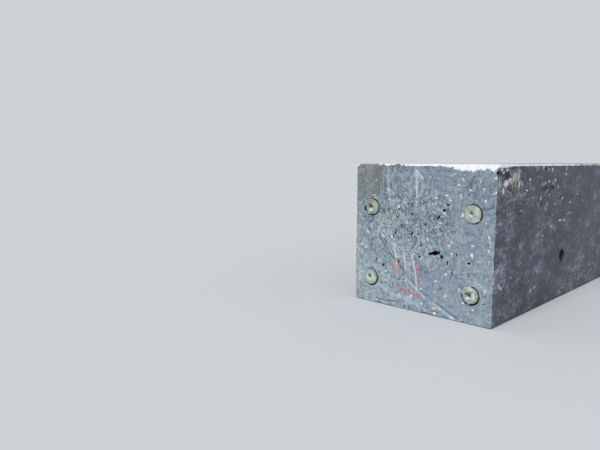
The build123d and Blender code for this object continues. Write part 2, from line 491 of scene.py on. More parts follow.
# Cutters for the pores and the hollows, which stand out of the face by three quarters of their depth
hollows = []
for end, end_pores in ((-1, MARKED_END_PORES), (1, PLAIN_END_PORES)):
    for (y, z), half_length, half_height, slope, depth in end_pores:
        centre = (end * (HALF_LENGTH - 0.25 * depth), y, z)
        hollows.append(hollow_cutter(centre, (depth, half_length, half_height), slope, len(hollows)))
side_hollows = []
for (from_end, z), half_length, half_height, slope, depth in SIDE_HOLLOWS:
    centre = (from_end - HALF_LENGTH, 0.25 * depth - HALF_WIDTH, z)
    half_sizes = (depth, half_height, half_length)
    side_hollows.append(hollow_cutter(centre, half_sizes, slope, len(side_hollows), turns=1))

# Hollows that run into each other are cut one after the other
uncut = make_piece("uncut_body", body_points, body_faces.tolist(), [moulded_skin, sawn_end])
uncut.data.polygons.foreach_set("material_index", is_sawn.astype(np.int32))
cutters = [make_piece("bores", *joined(drilled), [drilled_wall]),
           make_piece("even_hollows", *joined(hollows[::2]), [torn_pore]),
           make_piece("odd_hollows", *joined(hollows[1::2]), [torn_pore]),
           make_piece("side_hollows", *joined(side_hollows), [gouged_skin])]
for cutter in cutters:
    cut = uncut.modifiers.new(cutter.name, "BOOLEAN")
    cut.operation = "DIFFERENCE"
    cut.solver = "MANIFOLD"
    cut.material_mode = "TRANSFER"
    cut.object = cutter
shape = bpy.data.meshes.new_from_object(uncut.evaluated_get(bpy.context.evaluated_depsgraph_get()))
for spare in (uncut, *cutters):
    bpy.data.objects.remove(spare)
shape.name = "moulded_sleeper_body"
shape.shade_smooth()
shape.set_sharp_from_angle(angle=math.radians(45))
body = bpy.data.objects.new("moulded_sleeper_body", shape)
bpy.context.scene.collection.objects.link(body)
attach(body, "root")
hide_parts("sleeper_body")

# Chips of other plastics in the marked end that are large enough to know one by one: centre (y, z),
# half-length, half-height, slope in degrees and shade
WHITE, PALE, CREAM, BLUE, PINK, MINT = "#dee6ea", "#bfccd4", "#c3c4b9", "#6484ad", "#b58d97", "#93b8a4"
MARKED_END_CHIPS = [
    ((84, 175), 4.4, 1.6, 0, "#cdab7c"), ((43, 68.5), 3.6, 1.6, -12, "#dc7866"),
    ((66, 78), 1.8, 1.6, 0, "#8fc7b6"), ((113.5, 82), 1.5, 3.2, -15, "#b0c09a"),
    ((77, 17), 2.6, 1.4, 10, "#5f8d74"), ((18, 140), 1.8, 2.2, 0, "#5d8870"),
    ((43, 139), 1.7, 1.6, 0, "#66907b"), ((-112, 92), 1.5, 2.6, 0, "#8fc09c"),
    ((-30, 12), 3.6, 1.4, -5, "#ccd2a5"), ((-31, 4), 2.6, 1.8, 0, WHITE),
    ((65, 111.5), 3.2, 1.5, -8, WHITE), ((48, 111), 2.4, 1.7, -25, WHITE),
    ((95, 115), 3.2, 0.9, -40, WHITE), ((-43, 154), 2.6, 1.2, -35, WHITE), ((-29, 176), 1.8, 1.6, 0, WHITE),
    ((-45, 180), 2.3, 1, 5, WHITE), ((58, 148), 1.8, 2.8, 0, "#bcb4a2"),
    ((32, 147), 1.9, 2.6, 0, "#b8a997"), ((-36.5, 140), 3.2, 1.5, -15, CREAM),
    ((46, 169), 1.7, 1.6, 0, "#c6c4a8"), ((56, 185), 1.3, 3, 12, WHITE),
    ((47, 181), 1.3, 2.6, 20, "#cdd0c8"), ((-67.5, 180), 1.1, 4, 12, "#c4d0d4"),
    ((36, 159), 1.1, 3.2, 30, WHITE), ((-41, 95.8), 2.2, 1.1, 25, BLUE),
    ((-60, 129), 1.7, 1.8, 0, "#5e70a4"), ((-84, 205), 1.7, 1.6, 0, "#7580a2"),
    ((34, 80.5), 2.1, 1.4, 0, WHITE), ((71, 71), 1.4, 3, 0, "#ced3c9"), ((10, 23), 1.5, 2.6, 0, WHITE),
    ((-8.5, 14.8), 1.7, 2, -10, WHITE), ((-6.5, 37), 2, 1.6, 0, WHITE), ((-87, 99), 1.6, 3.2, 15, WHITE),
    ((-56, 97), 1.3, 1.6, 0, WHITE), ((-118, 81), 1.6, 4, 0, "#aaa385"),
    ((-97, 91), 1.4, 1.3, 0, "#cdb6a6"), ((30, 8.5), 2.6, 1.1, -5, "#bd7a74"),
    ((-70, 47), 1.6, 2.4, 20, "#c3ced1"), ((-48, 34), 2, 1.6, 0, WHITE), ((-76, 29), 1.3, 1.7, 0, WHITE),
    ((-91, 22), 1.5, 1.6, 0, WHITE), ((-108, 51), 1.5, 3.2, -35, PALE), ((1, 116), 1.5, 1.6, 0, PALE),
    ((-16, 113), 2.2, 2.4, -25, PALE), ((-57, 211), 3, 1.5, 25, "#b6b292"), ((21, 136), 1.4, 1.9, 0, PALE),
    ((-104, 175), 1.6, 1.5, 0, WHITE), ((-71, 154), 1.5, 3, 0, WHITE), ((19, 19), 2.8, 1.2, -8, "#c2b0a8"),
    ((80, 199), 3.2, 0.9, 35, "#b5b1a4"), ((-13, 182), 1.2, 1.8, 0, "#b9bb9c"),
    ((-32, 53), 2, 1.2, 35, WHITE), ((-111, 126), 1.4, 2.8, 0, "#cbd8e4"), ((-112, 120), 1.2, 1.8, 0, PALE),
    ((-111, 107), 1.2, 2.8, 0, PALE), ((-113, 114), 1.2, 1.4, 0, "#c2b49c"),
    ((-87, 112), 1.4, 1.4, 0, WHITE), ((-52, 108), 1.6, 1.3, 0, "#d9dbd0"), ((-56, 113), 1.4, 1.4, 0, PALE),
    ((-30, 133), 2.6, 1.4, 10, CREAM), ((-21, 129), 1.4, 2, 0, "#b4b69f"),
    ((-104, 92), 1.2, 1.2, 0, "#c9b9bd"), ((-62, 72), 2.4, 1, 40, "#c0b993"),
    ((-15, 5), 2.2, 1.8, -20, "#a9bccd"), ((-99, 59), 3.4, 0.9, -40, PALE),
    ((-117, 20), 1.2, 2, 0, "#c4b3bd"), ((-110, 29), 1.8, 1.1, 0, PINK), ((-116, 70), 1, 1.8, 0, PINK),
    ((-45, 110), 2, 1.1, 25, PINK), ((-9, 108), 1.2, 2.6, 20, PINK), ((-18, 206), 1.3, 2.4, 0, "#a9bfd6"),
    ((-52, 208), 1.8, 1.3, 0, "#a3b8d0"), ((29, 186), 1.6, 1.3, 0, MINT), ((-51, 174), 1.6, 2.2, 35, PALE),
    ((-23, 167), 1.6, 1.3, 0, PALE), ((-27, 185), 1.4, 1.3, 0, CREAM), ((-63, 195), 1.4, 1.8, 0, PALE),
    ((8, 221), 3.6, 1, -15, "#b27a78"), ((65, 136), 1, 3.2, 25, "#a9b79f"), ((42, 157), 1.4, 1.4, 0, CREAM),
    ((40, 175), 1.9, 1.4, 0, BLUE), ((107, 216), 1.8, 1.3, 0, "#97ad97"), ((76, 222), 2.4, 1, 0, PINK),
    ((88, 127), 1.5, 1.5, 0, PALE), ((54, 170), 1.1, 2.6, -15, WHITE), ((-70, 203), 1.3, 2.6, 35, PALE),
    ((-65, 195.5), 2, 1.1, -35, "#c8ccc9"), ((-81, 189), 1.4, 1.4, 0, WHITE),
    ((-101, 191), 1.6, 1.7, 0, PALE), ((-96, 201), 0.9, 3.2, -12, PALE),
    ((-113, 185), 1.4, 1.4, 0, "#bfb8a8"), ((-118, 187), 1.1, 1.6, 0, WHITE),
    ((-117, 206), 1.4, 1.8, 0, WHITE), ((-118, 172), 1.1, 1.6, 0, "#b9a79a"),
    ((-106, 145), 1.3, 1.5, 0, PALE), ((67, 93), 1.7, 1.7, 0, "#b0a98c"), ((39, 84), 1.4, 2.6, -35, PALE),
    ((58, 55), 2.4, 1, 35, WHITE), ((50, 28), 1.6, 1.2, 0, "#bfb39d"), ((11, 17), 1.4, 1.4, 0, "#b7b4d0"),
    ((60, 40), 2, 1.3, 10, PALE), ((99, 89), 1.6, 2.6, 0, PALE), ((107, 94), 1.3, 2, 0, WHITE),
    ((111, 65), 1.2, 2, 0, PALE), ((41, 38), 1.8, 1.2, 0, "#b9a39f"), ((101, 121), 1.6, 1.2, 0, "#b5a8a9"),
    ((26, 166), 1.2, 2.4, -20, PALE), ((52, 160), 1, 2.4, 30, "#c2bda4"), ((49, 152), 1, 2.6, -25, PALE),
    ((71, 188), 1.2, 1.8, 0, "#a9b4b0"), ((5, 163), 1.3, 1.6, 0, PALE), ((-30, 7.5), 3, 1.2, 0, "#7f736c"),
    ((-60, 3.5), 6, 1.8, -18, "#c6d3de"), ((-40, 12.5), 2.2, 1.4, -30, PALE),
    ((-48, 66), 1.6, 1.8, 0, WHITE), ((-73, 3), 2.6, 1.2, 20, PALE), ((32, 21), 3.2, 1.3, -20, PALE),
    ((88, 128), 3.6, 0.9, 33, "#b6bab0"), ((87, 123), 1.4, 1.2, 0, "#b9c6c8"),
    ((80, 137), 2, 1.5, 0, "#aab6a8"), ((68, 133), 1.2, 2, 20, "#a5b5a8"),
    ((65, 138), 1.6, 1.4, 0, "#b3bdba"), ((70, 151), 1.5, 1.5, 0, "#a0b0a2"),
    ((74, 123), 1.2, 2.4, 0, "#bccad0"), ((76, 112), 1.3, 2.6, 5, "#b2c6d0"),
    ((51, 118), 3.2, 1.8, 0, "#a5aaa3"), ((57, 120), 1.5, 1.3, 0, "#9d979c"),
    ((57, 106), 1.6, 2, 40, "#95909a"), ((69, 117), 1.6, 1.4, 0, "#98aba2"),
    ((75, 104), 1.8, 1.8, 0, "#a3b5c1"), ((40, 129), 1.1, 3, -15, "#a2b3b9"),
    ((36, 135), 3, 0.9, 40, "#a9b8bb"), ((107, 95), 1.8, 1.6, 0, "#b0c6d1"),
    ((109, 152), 1.3, 1.1, 0, "#a9b8bb"), ((101, 147), 1.4, 1.3, 30, "#a6b5c1"),
    ((110.5, 143), 1.5, 1.5, 0, "#b5b1b4"), ((112, 122), 1.5, 1.4, 0, "#9fb0b5"),
    ((53, 138), 1.3, 1.4, 0, "#a8b8bb"), ((102.5, 106), 1.2, 1, 0, "#4d5a60"),
    ((90, 117), 1.3, 1.2, 0, "#505a68"), ((93, 121), 0.9, 2.6, 0, "#535d62"),
    ((86.5, 135), 1, 2, 0, "#515e60"), ((84, 126), 1.4, 2.2, 0, "#566168"),
    ((48, 153), 2.4, 1.6, 0, "#536675"), ((51, 124), 1.4, 1.2, 0, "#525c61"),
    ((59, 125), 1.6, 1.2, 30, "#5a6668"), ((64, 101), 2, 1, 25, "#5a6a74"),
]


def chip_field(places, chips, reach=5.0):
    """For each (y, z) place, counted from the nearest chip's centre and turned by its slope: the share of
    its half-length across, of its half-height up, and 1 within reach of it, or else 0; and its colour."""
    field, shade = np.zeros((len(places), 3)), np.zeros((len(places), 4))
    nearest = np.full(len(places), 99.0)
    for centre, half_length, half_height, slope, colour in chips:
        left, above = (places - centre).T
        turn, away = math.radians(slope), np.hypot(left, above)
        across = (above * math.sin(turn) - left * math.cos(turn)) / half_length
        upward = (above * math.cos(turn) + left * math.sin(turn)) / half_height
        closer = away < nearest
        nearest = np.where(closer, away, nearest)
        field = np.where(closer[:, None], np.stack([across, upward, away < reach], -1), field)
        shade = np.where(closer[:, None], linear(colour), shade)
    return field, shade


def soft_spot(a, b, centre, size, soft=0.5):
    """1 inside an ellipse of half-sizes `size` about the centre, down to 0 at 1 + soft times that size."""
    away = np.hypot((a - centre[0]) / size[0], (b - centre[1]) / size[1])
    return np.clip((1 + soft - away) / soft, 0, 1)


def strongest_spot(a, b, soft_spots):
    """The strongest of the soft spots at each place, from (centre, half-sizes, softness, strength)."""
    return np.max([strength * soft_spot(a, b, centre, size, soft)
                   for centre, size, soft, strength in soft_spots], axis=0)


def keep_on_mesh(mesh, name, values):
    """Keeps one number, three or four for each point of a mesh, under a name that its material reads."""
    values = np.asarray(values, np.float32).reshape(len(mesh.vertices), -1)
    kinds = {1: ("FLOAT", "value"), 3: ("FLOAT_VECTOR", "vector"), 4: ("FLOAT_COLOR", "color")}
    kind, field = kinds[values.shape[1]]
    mesh.attributes.new(name, kind, "POINT").data.foreach_set(field, values.ravel())


spots = np.empty(len(shape.vertices) * 3)
shape.vertices.foreach_get("co", spots)
spots = spots.reshape(-1, 3) / MM
x, y, z = spots.T
section = spots[:, 1:]
from_marked, from_plain = HALF_LENGTH + x, HALF_LENGTH - x
from_side, from_flat, from_top = HALF_WIDTH - np.abs(y), np.minimum(z, HEIGHT - z), HEIGHT - z

# The marks of an end go 12 mm deep, so that the walls of its pores have them too
near_marked, near_plain = from_marked < 12, from_plain < 12
no_line = (9, 0, 0)
for name, lines in (("dark_line", DARK_LINES), ("light_line", LIGHT_LINES)):
    kept = np.where(near_plain[:, None], line_field(section, lines[1]), no_line)
    keep_on_mesh(shape, name, np.where(near_marked[:, None], line_field(section, lines[-1]), kept))
chalk_marks = {"chalk_arrow": CHALK_ARROW, "chalk_strokes": CHALK_STROKES,
               "chalk_underline": CHALK_UNDERLINE}
for name, lines in chalk_marks.items():
    keep_on_mesh(shape, name, np.where(near_marked[:, None], line_field(section, lines), no_line))
field, shade = chip_field(section, MARKED_END_CHIPS)
keep_on_mesh(shape, "chip_place", np.where(near_marked[:, None], field, 0))
keep_on_mesh(shape, "chip_colour", shade)

# Where each end is coarse, mostly in its middle, and the brown stain on the marked end, as soft spots of
# centre (y, z), half-sizes, softness and strength; and the saw's scrapes on the marked end
MARKED_END_COARSE = [
    ((8, 132), (42, 44), 0.8, 1), ((46, 165), (26, 34), 0.8, 0.9), ((66, 122), (20, 24), 0.8, 0.85),
    ((120, 110), (14, 120), 1.2, 0.6), ((74, 18), (60, 30), 0.8, 0.75),
]
PLAIN_END_COARSE = [((-4, 112), (48, 52), 0.8, 1)]
BROWN_STAIN = [((76, 208), (10, 22), 0.8, 1), ((96, 202), (22, 24), 0.6, 0.6)]
coarse = strongest_spot(y, z, MARKED_END_COARSE) * near_marked
coarse += strongest_spot(y, z, PLAIN_END_COARSE) * near_plain
keep_on_mesh(shape, "coarse", np.clip(coarse + 0.12 * ripple(spots, 34, 21), 0, 1))
stain = strongest_spot(y, z, BROWN_STAIN) * (1 + 0.15 * ripple(spots, 16, 22))
keep_on_mesh(shape, "stain", np.clip(stain, 0, 1) * near_marked)
keep_on_mesh(shape, "scraped", bump_between(y, 50, 68, 5) * bump_between(z, 176, 222, 20) * near_marked)

# Where the plastic is broken or frayed and has gone white: the top edge of the marked end, with gaps on its
# left, and in thin lines all the long and sawn edges. A wider band along both top long edges is wear
# together with a painted highlight of the rounded edge.
drop = broken_depth(y)
broken = np.clip(1.25 - from_top / np.maximum(drop + 1.0, 1.5) * 0.62, 0, 1) * (from_top < drop + 4)
broken *= np.clip(1.9 - from_marked / (drop * 1.3 + 7), 0, 1) * np.clip((y + 126) / 12, 0.45, 1)
patchy = 0.82 - 0.45 * bump_between(y, 84, 130, 14) + 0.38 * ripple(spots * (0, 1, 0), 12, 23)
broken *= np.where(y > 26, np.clip(patchy, 0.2, 1), 1)
to_top_edge = np.hypot(from_side, from_top)
to_long_edge = np.hypot(from_side, from_flat)
to_sawn_edge = np.hypot(np.minimum(from_marked, from_plain), np.minimum(from_side, from_flat))
wear_and_highlight = np.maximum(0.50 * np.clip(1 - to_long_edge / 6, 0, 1), 0.42 * np.clip(1 - to_sawn_edge / 5, 0, 1))
# Painted highlight with wear: the band along the top long edges is wider and whiter near the marked end
at_corner = np.clip(1.6 - from_marked / 40, 0, 1)
near_corner = np.clip(1.6 - from_marked / 220, 0, 1)
top_edge_wear_and_highlight = np.clip((3.9 + 4.0 * at_corner - to_top_edge) / (1.1 + 3.0 * at_corner), 0, 1)
wear_and_highlight = np.maximum(wear_and_highlight, (0.56 + 0.24 * near_corner + 0.04 * at_corner) * top_edge_wear_and_highlight)
keep_on_mesh(shape, "wear_and_highlight", np.maximum(broken, wear_and_highlight))


def flakes(tree, place, size, shape=(1, 1, 1), turn=(0, 0, 0), metric="EUCLIDEAN"):
    """Chopped flakes about `size` mm across, longer by `shape` along each axis and turned by degrees: how
    far each place is from its flake's middle in flake sizes, its random colour, and that colour's parts."""
    laid = add(tree, "Mapping", {"Vector": place, "Rotation": [math.radians(angle) for angle in turn],
                                 "Scale": shape}, vector_type="TEXTURE")
    cell = add(tree, "TexVoronoi", {"Vector": laid, "Scale": 1000 / size}, distance=metric)
    chance = add(tree, "SeparateColor", {0: cell.outputs["Color"]})
    return cell.outputs["Distance"], cell.outputs["Color"], chance.outputs


def slivers(tree, place, width, shape, turns):
    """Thin slivers about `width` mm wide in each of the directions: noise drawn out by `shape` along the
    axes and turned by degrees. Returns the highest and the lowest of all the directions."""
    layers = []
    for turn in turns:
        laid = add(tree, "Mapping", {"Vector": place, "Rotation": [math.radians(angle) for angle in turn],
                                     "Scale": shape}, vector_type="TEXTURE")
        layers.append(add(tree, "TexNoise", {"Vector": laid, "Scale": 500 / width, "Detail": 1.0}))
    highest = lowest = layers[0]
    for layer in layers[1:]:
        highest = add(tree, "Math", {0: highest, 1: layer}, operation="MAXIMUM")
        lowest = add(tree, "Math", {0: lowest, 1: layer}, operation="MINIMUM")
    return highest, lowest


def scatter(tree, under, pattern, share, reach, shades):
    """Lays chips over a colour: one in `share` of the pattern's flakes, out to between 0.4 and 1 of `reach`
    from its middle, in one of the shades. Returns the new colour and where the chips are."""
    distance, _, chance = pattern
    limit = add(tree, "Math", {0: chance["Blue"], 1: reach * 0.6, 2: reach * 0.4}, operation="MULTIPLY_ADD")
    inside = add(tree, "Math", {0: limit, 1: distance}, operation="SUBTRACT")
    soft = add(tree, "MapRange", {"Value": inside, "From Min": 0.0, "From Max": 0.10})
    present = add(tree, "Math", {0: chance["Red"], 1: share}, operation="LESS_THAN")
    chip = add(tree, "Math", {0: soft, 1: present}, operation="MULTIPLY")
    stops = [(number / len(shades), shade) for number, shade in enumerate(shades)]
    shade = add(tree, "ValToRGB", {"Fac": chance["Green"]}, stops)
    shade.color_ramp.interpolation = "CONSTANT"
    laid = add(tree, "Mix", {0: chip, 6: under, 7: shade}, data_type="RGBA")
    return laid.outputs[2], chip


def stroke(tree, name, width, ragged, noise, softness=0.6):
    """Where a line kept on the mesh is drawn: its strength within half its width in mm, with its edge moved
    by up to `ragged` mm of noise and softened, and only beside the line."""
    kept = add(tree, "SeparateXYZ", {0: add(tree, "Attribute", attribute_name=name).outputs["Vector"]})
    away = add(tree, "Math", {0: kept}, operation="ABSOLUTE")
    edge = add(tree, "Math", {0: noise, 1: 2 * ragged, 2: width / 2 - ragged}, operation="MULTIPLY_ADD")
    inside = add(tree, "Math", {0: edge, 1: away}, operation="SUBTRACT")
    drawn = add(tree, "MapRange", {"Value": inside, "From Min": 0.0, "From Max": softness})
    beside = add(tree, "Math", {0: kept.outputs[1], 1: 0.98}, operation="GREATER_THAN")
    drawn = add(tree, "Math", {0: drawn, 1: beside}, operation="MULTIPLY")
    return add(tree, "Math", {0: drawn, 1: kept.outputs[2]}, operation="MULTIPLY")


def white_edges_and_highlight(tree, under, noise, speckle, shades):
    """Frayed plastic and a painted highlight over a colour: white where the noise lifts the wear and the
    highlight kept on the mesh over a half.
    """
    wear_and_highlight = add(tree, "Attribute", attribute_name="wear_and_highlight").outputs["Fac"]
    lifted = add(tree, "Math", {0: noise, 1: 1.1, 2: -0.55}, operation="MULTIPLY_ADD")
    lifted = add(tree, "Math", {0: lifted, 1: wear_and_highlight}, operation="ADD")
    whitened = add(tree, "MapRange", {"Value": lifted, "From Min": 0.50, "From Max": 0.62})
    white = add(tree, "ValToRGB", {"Fac": speckle}, shades)
    return add(tree, "Mix", {0: whitened, 6: under, 7: white}, data_type="RGBA").outputs[2]


# Sawn recycled plastic, matt and grey from the saw and the weather: a felt of slivers about 1 mm wide and
# 4 mm long over a mosaic of flakes 2 to 6 mm across, with pits between them and chips of other colours.
tree = sawn_tree
place = add(tree, "TexCoord").outputs["Object"]
tear = add(tree, "TexNoise", {"Vector": place, "Scale": 420.0, "Detail": 1.0})
torn = add(tree, "VectorMath", {0: tear.outputs["Color"], 1: (0.003, 0.003, 0.003), 2: place},
           operation="MULTIPLY_ADD")
coarse = add(tree, "Attribute", attribute_name="coarse").outputs["Fac"]
cloud = add(tree, "TexNoise", {"Vector": place, "Scale": 24.0, "Detail": 3.0})
patch = add(tree, "TexNoise", {"Vector": torn, "Scale": 95.0, "Detail": 3.0, "Roughness": 0.6})
fine = add(tree, "TexNoise", {"Vector": place, "Scale": 380.0, "Detail": 3.0, "Roughness": 0.65})
speckle = add(tree, "TexNoise", {"Vector": place, "Scale": 900.0, "Detail": 2.0})
large = flakes(tree, torn, 4.0, (1, 1, 1.6), (22, 0, 0))
small = flakes(tree, torn, 2.2, (1, 1, 1.8), (-35, 0, 0))
light_felt, dark_felt = slivers(tree, torn, 1.05, (1, 1, 3.6), ((28, 0, 0), (-24, 0, 0), (80, 0, 0)))
height_up = add(tree, "SeparateXYZ", {0: place}).outputs["Z"]

# How light each place is: 0.5 on the mean, darker upwards, and with the more contrast the coarser it is
level = weighted_sum(tree, -1.80, [
    (cloud, 0.45), (patch, 0.50), (fine, 0.55), (large[2]["Red"], 0.14), (small[2]["Red"], 0.34),
    (light_felt, 0.77), (dark_felt, 0.75), (height_up, -0.82), (coarse, 0.10),
])
contrast = add(tree, "MapRange", {"Value": coarse, "To Min": 0.62, "To Max": 1.25})
level = add(tree, "Math", {0: level, 1: contrast, 2: 0.5}, operation="MULTIPLY_ADD")
grey = add(tree, "ValToRGB", {"Fac": level},
           [(0.02, "#4b565f"), (1.0, "#c0ced8"), (0.28, "#73808a"), (0.50, "#8f9da8"), (0.72, "#a4b2bd")])
warmth = add(tree, "Math", {0: coarse, 1: 0.16, 2: cloud}, operation="MULTIPLY_ADD")
hue = add(tree, "ValToRGB", {"Fac": warmth}, [(0.38, "#b2b9cf"), (0.66, "#bdc4b8"), (0.53, "#bcbcbc")])
base = add(tree, "Mix", {0: 0.36, 6: grey, 7: hue}, data_type="RGBA", blend_type="SOFT_LIGHT")
base = add(tree, "Mix", {0: 0.04, 6: base.outputs[2], 7: large[1]}, data_type="RGBA",
           blend_type="SOFT_LIGHT")
tinted = add(tree, "Attribute", attribute_name="stain").outputs["Fac"]
tinted = add(tree, "Math", {0: tinted, 1: 0.7}, operation="MULTIPLY")
base = add(tree, "Mix", {0: tinted, 6: base.outputs[2], 7: linear("#666762")}, data_type="RGBA")

# Small, middling and large chips of other colours, and pits; the small ones and the pits are more frequent
# where it is coarse
pale_share = add(tree, "MapRange", {"Value": coarse, "To Min": 0.12, "To Max": 0.50})
pit_share = add(tree, "MapRange", {"Value": coarse, "To Min": 0.04, "To Max": 0.27})
colour, _ = scatter(tree, base.outputs[2], flakes(tree, torn, 3.0, (1, 1, 2.2), (-30, 0, 0), "CHEBYCHEV"),
                    pale_share, 0.32,
                    ["#a9b5bd", "#bcc9cf", "#b2baab", "#aca4a8", "#d0d8d8", "#b6b6a8", "#9bb0a4"])
colour, _ = scatter(tree, colour, flakes(tree, torn, 6.0, (1, 1, 1.5), (22, 0, 0)), 0.14, 0.20,
                    ["#d0dade", "#b3b4a6", "#dde5e8", "#8ba296", "#bac5cb", "#d6dfe2", "#a99f9d", "#b8c4ca"])
colour, _ = scatter(tree, colour, flakes(tree, torn, 12.0, (1, 1, 1.2), (10, 0, 0)), 0.10, 0.12,
                    ["#aaa294", "#dde3e5", "#7f9c8a", "#d8e0e3", "#b1b19e", "#7b8ea8"])
colour, pit = scatter(tree, colour, flakes(tree, torn, 3.9, (1, 1, 1.9), (-28, 0, 0)), pit_share, 0.34,
                      ["#3d464d", "#525b62", "#343c42", "#5d666d"])

# The saw's scrapes, light and dark, then the light lines and the dark folds of the melt; the relief sinks
# where the last of them, a fold, is drawn
scraped =add(tree, "Attribute", attribute_name="scraped").outputs["Fac"]
laid = add(tree, "Mapping", {"Vector": place, "Rotation": (math.radians(-4), 0, 0), "Scale": (1, 1, 24)},
           vector_type="TEXTURE")
streak = add(tree, "TexNoise", {"Vector": laid, "Scale": 420.0, "Detail": 1.0})
for low, high, shade in ((0.53, 0.62, "#a9b9c6"), (0.46, 0.38, "#56616b")):
    scrape = add(tree, "MapRange", {"Value": streak, "From Min": low, "From Max": high, "To Max": 0.45})
    scrape = add(tree, "Math", {0: scrape, 1: scraped}, operation="MULTIPLY")
    colour = add(tree, "Mix", {0: scrape, 6: colour, 7: linear(shade)}, data_type="RGBA").outputs[2]
# Light lines: pale arcs, and beside folds a painted highlight; dark lines: folds, their colour partly
# painted shade
for name, width, ragged, noise, softness, strength, shade in (
        ("light_line", 8.5, 2.6, patch, 3.4, 0.55, "#adc4d1"),
        ("dark_line", 4.0, 1.8, fine, 2.4, 0.9, "#48525c")):
    line = stroke(tree, name, width, ragged, noise, softness)
    line = add(tree, "Math", {0: line, 1: strength}, operation="MULTIPLY")
    colour = add(tree, "Mix", {0: line, 6: colour, 7: linear(shade)}, data_type="RGBA").outputs[2]
fold = line

# The chips that are known one by one: within 1 of the middle, where the distance is changed by a ripple
kept = add(tree, "SeparateXYZ", {0: add(tree, "Attribute", attribute_name="chip_place").outputs["Vector"]})
away = add(tree, "CombineXYZ", {0: kept, 1: kept.outputs[1]})
away = add(tree, "VectorMath", {0: away}, operation="LENGTH").outputs["Value"]
away = add(tree, "Math", {0: tear, 1: 1.5, 2: away}, operation="MULTIPLY_ADD")
inside = add(tree, "MapRange", {"Value": away, "From Min": 1.85, "From Max": 1.55})
near = add(tree, "Math", {0: kept.outputs[2], 1: 0.98}, operation="GREATER_THAN")
chip = add(tree, "Math", {0: inside, 1: near}, operation="MULTIPLY")
chip_colour = add(tree, "Attribute", attribute_name="chip_colour").outputs["Color"]
colour = add(tree, "Mix", {0: chip, 6: colour, 7: chip_colour}, data_type="RGBA").outputs[2]

# Chalk, which catches on the high grains only: a pale arrow, three slanting pale strokes, and a red line
# below them with two short red strokes
for name, width, thick, shade in (("chalk_arrow", 4.6, 0.92, "#bcd6e4"),
                                  ("chalk_strokes", 4.4, 0.85, "#d3c9d6"),
                                  ("chalk_underline", 4.6, 0.85, "#c46a70")):
    chalk = stroke(tree, name, width, 1.5, patch, 1.2)
    rubbed = add(tree, "MapRange", {"Value": speckle, "From Min": 0.36, "From Max": 0.50,
                                    "To Min": 0.35, "To Max": thick})
    chalk = add(tree, "Math", {0: chalk, 1: rubbed}, operation="MULTIPLY")
    colour = add(tree, "Mix", {0: chalk, 6: colour, 7: linear(shade)}, data_type="RGBA").outputs[2]

fray = add(tree, "TexNoise", {"Vector": place, "Scale": 260.0, "Detail": 3.0, "Roughness": 0.65})
colour = white_edges_and_highlight(tree, colour, fray, speckle, [(0.34, "#8b93a0"), (0.49, "#eff2f8"), (0.42, "#cdd3dd")])
relief = weighted_sum(tree, 0.5, [(level, 0.6), (pit, -0.9), (fold, -0.6), (fray, 0.5)])
rough = add(tree, "MapRange", {"Value": fine, "To Min": 0.48, "To Max": 0.8})
finish_surface(tree, colour, rough, relief, 0.8, 0.0007, {"IOR": PLASTIC_IOR})

# Moulded recycled plastic: the dark skin of the mould. Flakes drawn out lengthwise by the flow show through
# it paler and darker, under fine scuffs in all directions and a few bright chips.
SKIN_TEAR = Vector((0.007, 0.004, 0.004))
tree = skin_tree
place = add(tree, "TexCoord").outputs["Object"]
tear = add(tree, "TexNoise", {"Vector": place, "Scale": 330.0, "Detail": 2.0})
torn = add(tree, "VectorMath", {0: tear.outputs["Color"], 1: SKIN_TEAR, 2: place}, operation="MULTIPLY_ADD")
cloud = add(tree, "TexNoise", {"Vector": place, "Scale": 11.0, "Detail": 4.0, "Roughness": 0.6})
drawn_out = add(tree, "Mapping", {"Vector": place, "Scale": (0.42, 1, 1)})
patch = add(tree, "TexNoise", {"Vector": drawn_out, "Scale": 60.0, "Detail": 4.0, "Roughness": 0.65})
fine = add(tree, "TexNoise", {"Vector": drawn_out, "Scale": 300.0, "Detail": 3.0, "Roughness": 0.6})
speckle = add(tree, "TexNoise", {"Vector": place, "Scale": 900.0, "Detail": 2.0})
large = flakes(tree, torn, 5.5, (2.2, 1.2, 1.2))
small = flakes(tree, torn, 2.8, (2.2, 1, 1))
light_scuffs, dark_scuffs = slivers(tree, torn, 1.2, (9, 1, 1),
                                    ((0, -14, 18), (0, 26, -22), (0, -48, -14), (0, 66, 12)))
hairlines = add(tree, "MapRange", {"Value": light_scuffs, "From Min": 0.63, "From Max": 0.72})
from_middle = add(tree, "Math", {0: add(tree, "SeparateXYZ", {0: place})}, operation="ABSOLUTE")
dusty = add(tree, "MapRange", {"Value": from_middle, "From Min": 1.04, "From Max": 1.18, "To Max": 0.16})
level = weighted_sum(tree, -2.41, [
    (cloud, 1.25), (patch, 1.5), (fine, 0.5), (large[2]["Red"], 0.24), (small[2]["Red"], 0.20),
    (light_scuffs, 0.9), (dark_scuffs, 0.8), (hairlines, 0.22), (dusty, 1.0),
])
colour = add(tree, "ValToRGB", {"Fac": level},
             [(0.0, "#1f2331"), (1.0, "#a1a6b5"), (0.28, "#424756"), (0.50, "#585d6d"), (0.75, "#7c8292")])
colour, _ = scatter(tree, colour, flakes(tree, torn, 3.6, (2.2, 1, 1), (0, -30, 0)), 0.14, 0.30,
                    ["#7f8595", "#9398a5", "#363a45", "#a3a8b3"])
colour, _ = scatter(tree, colour, flakes(tree, torn, 6.0, (1.8, 1.2, 1.2), (0, -35, 0)), 0.16, 0.26,
                    ["#8d93a3", "#a5aab4", "#7b8291", "#abadb0"])
colour, _ = scatter(tree, colour, flakes(tree, torn, 14.0, (1.8, 1, 1), (0, 35, 0)), 0.30, 0.12,
                    ["#cfd4da", "#bcc0c8", "#9a6a82", "#cfd4d9", "#6d83a6", "#c8cdd3", "#c3bfae"])
colour, pit = scatter(tree, colour, flakes(tree, torn, 8.0, (2, 1, 1), (0, -15, 0)), 0.22, 0.24,
                      ["#23252c", "#2f3139"])

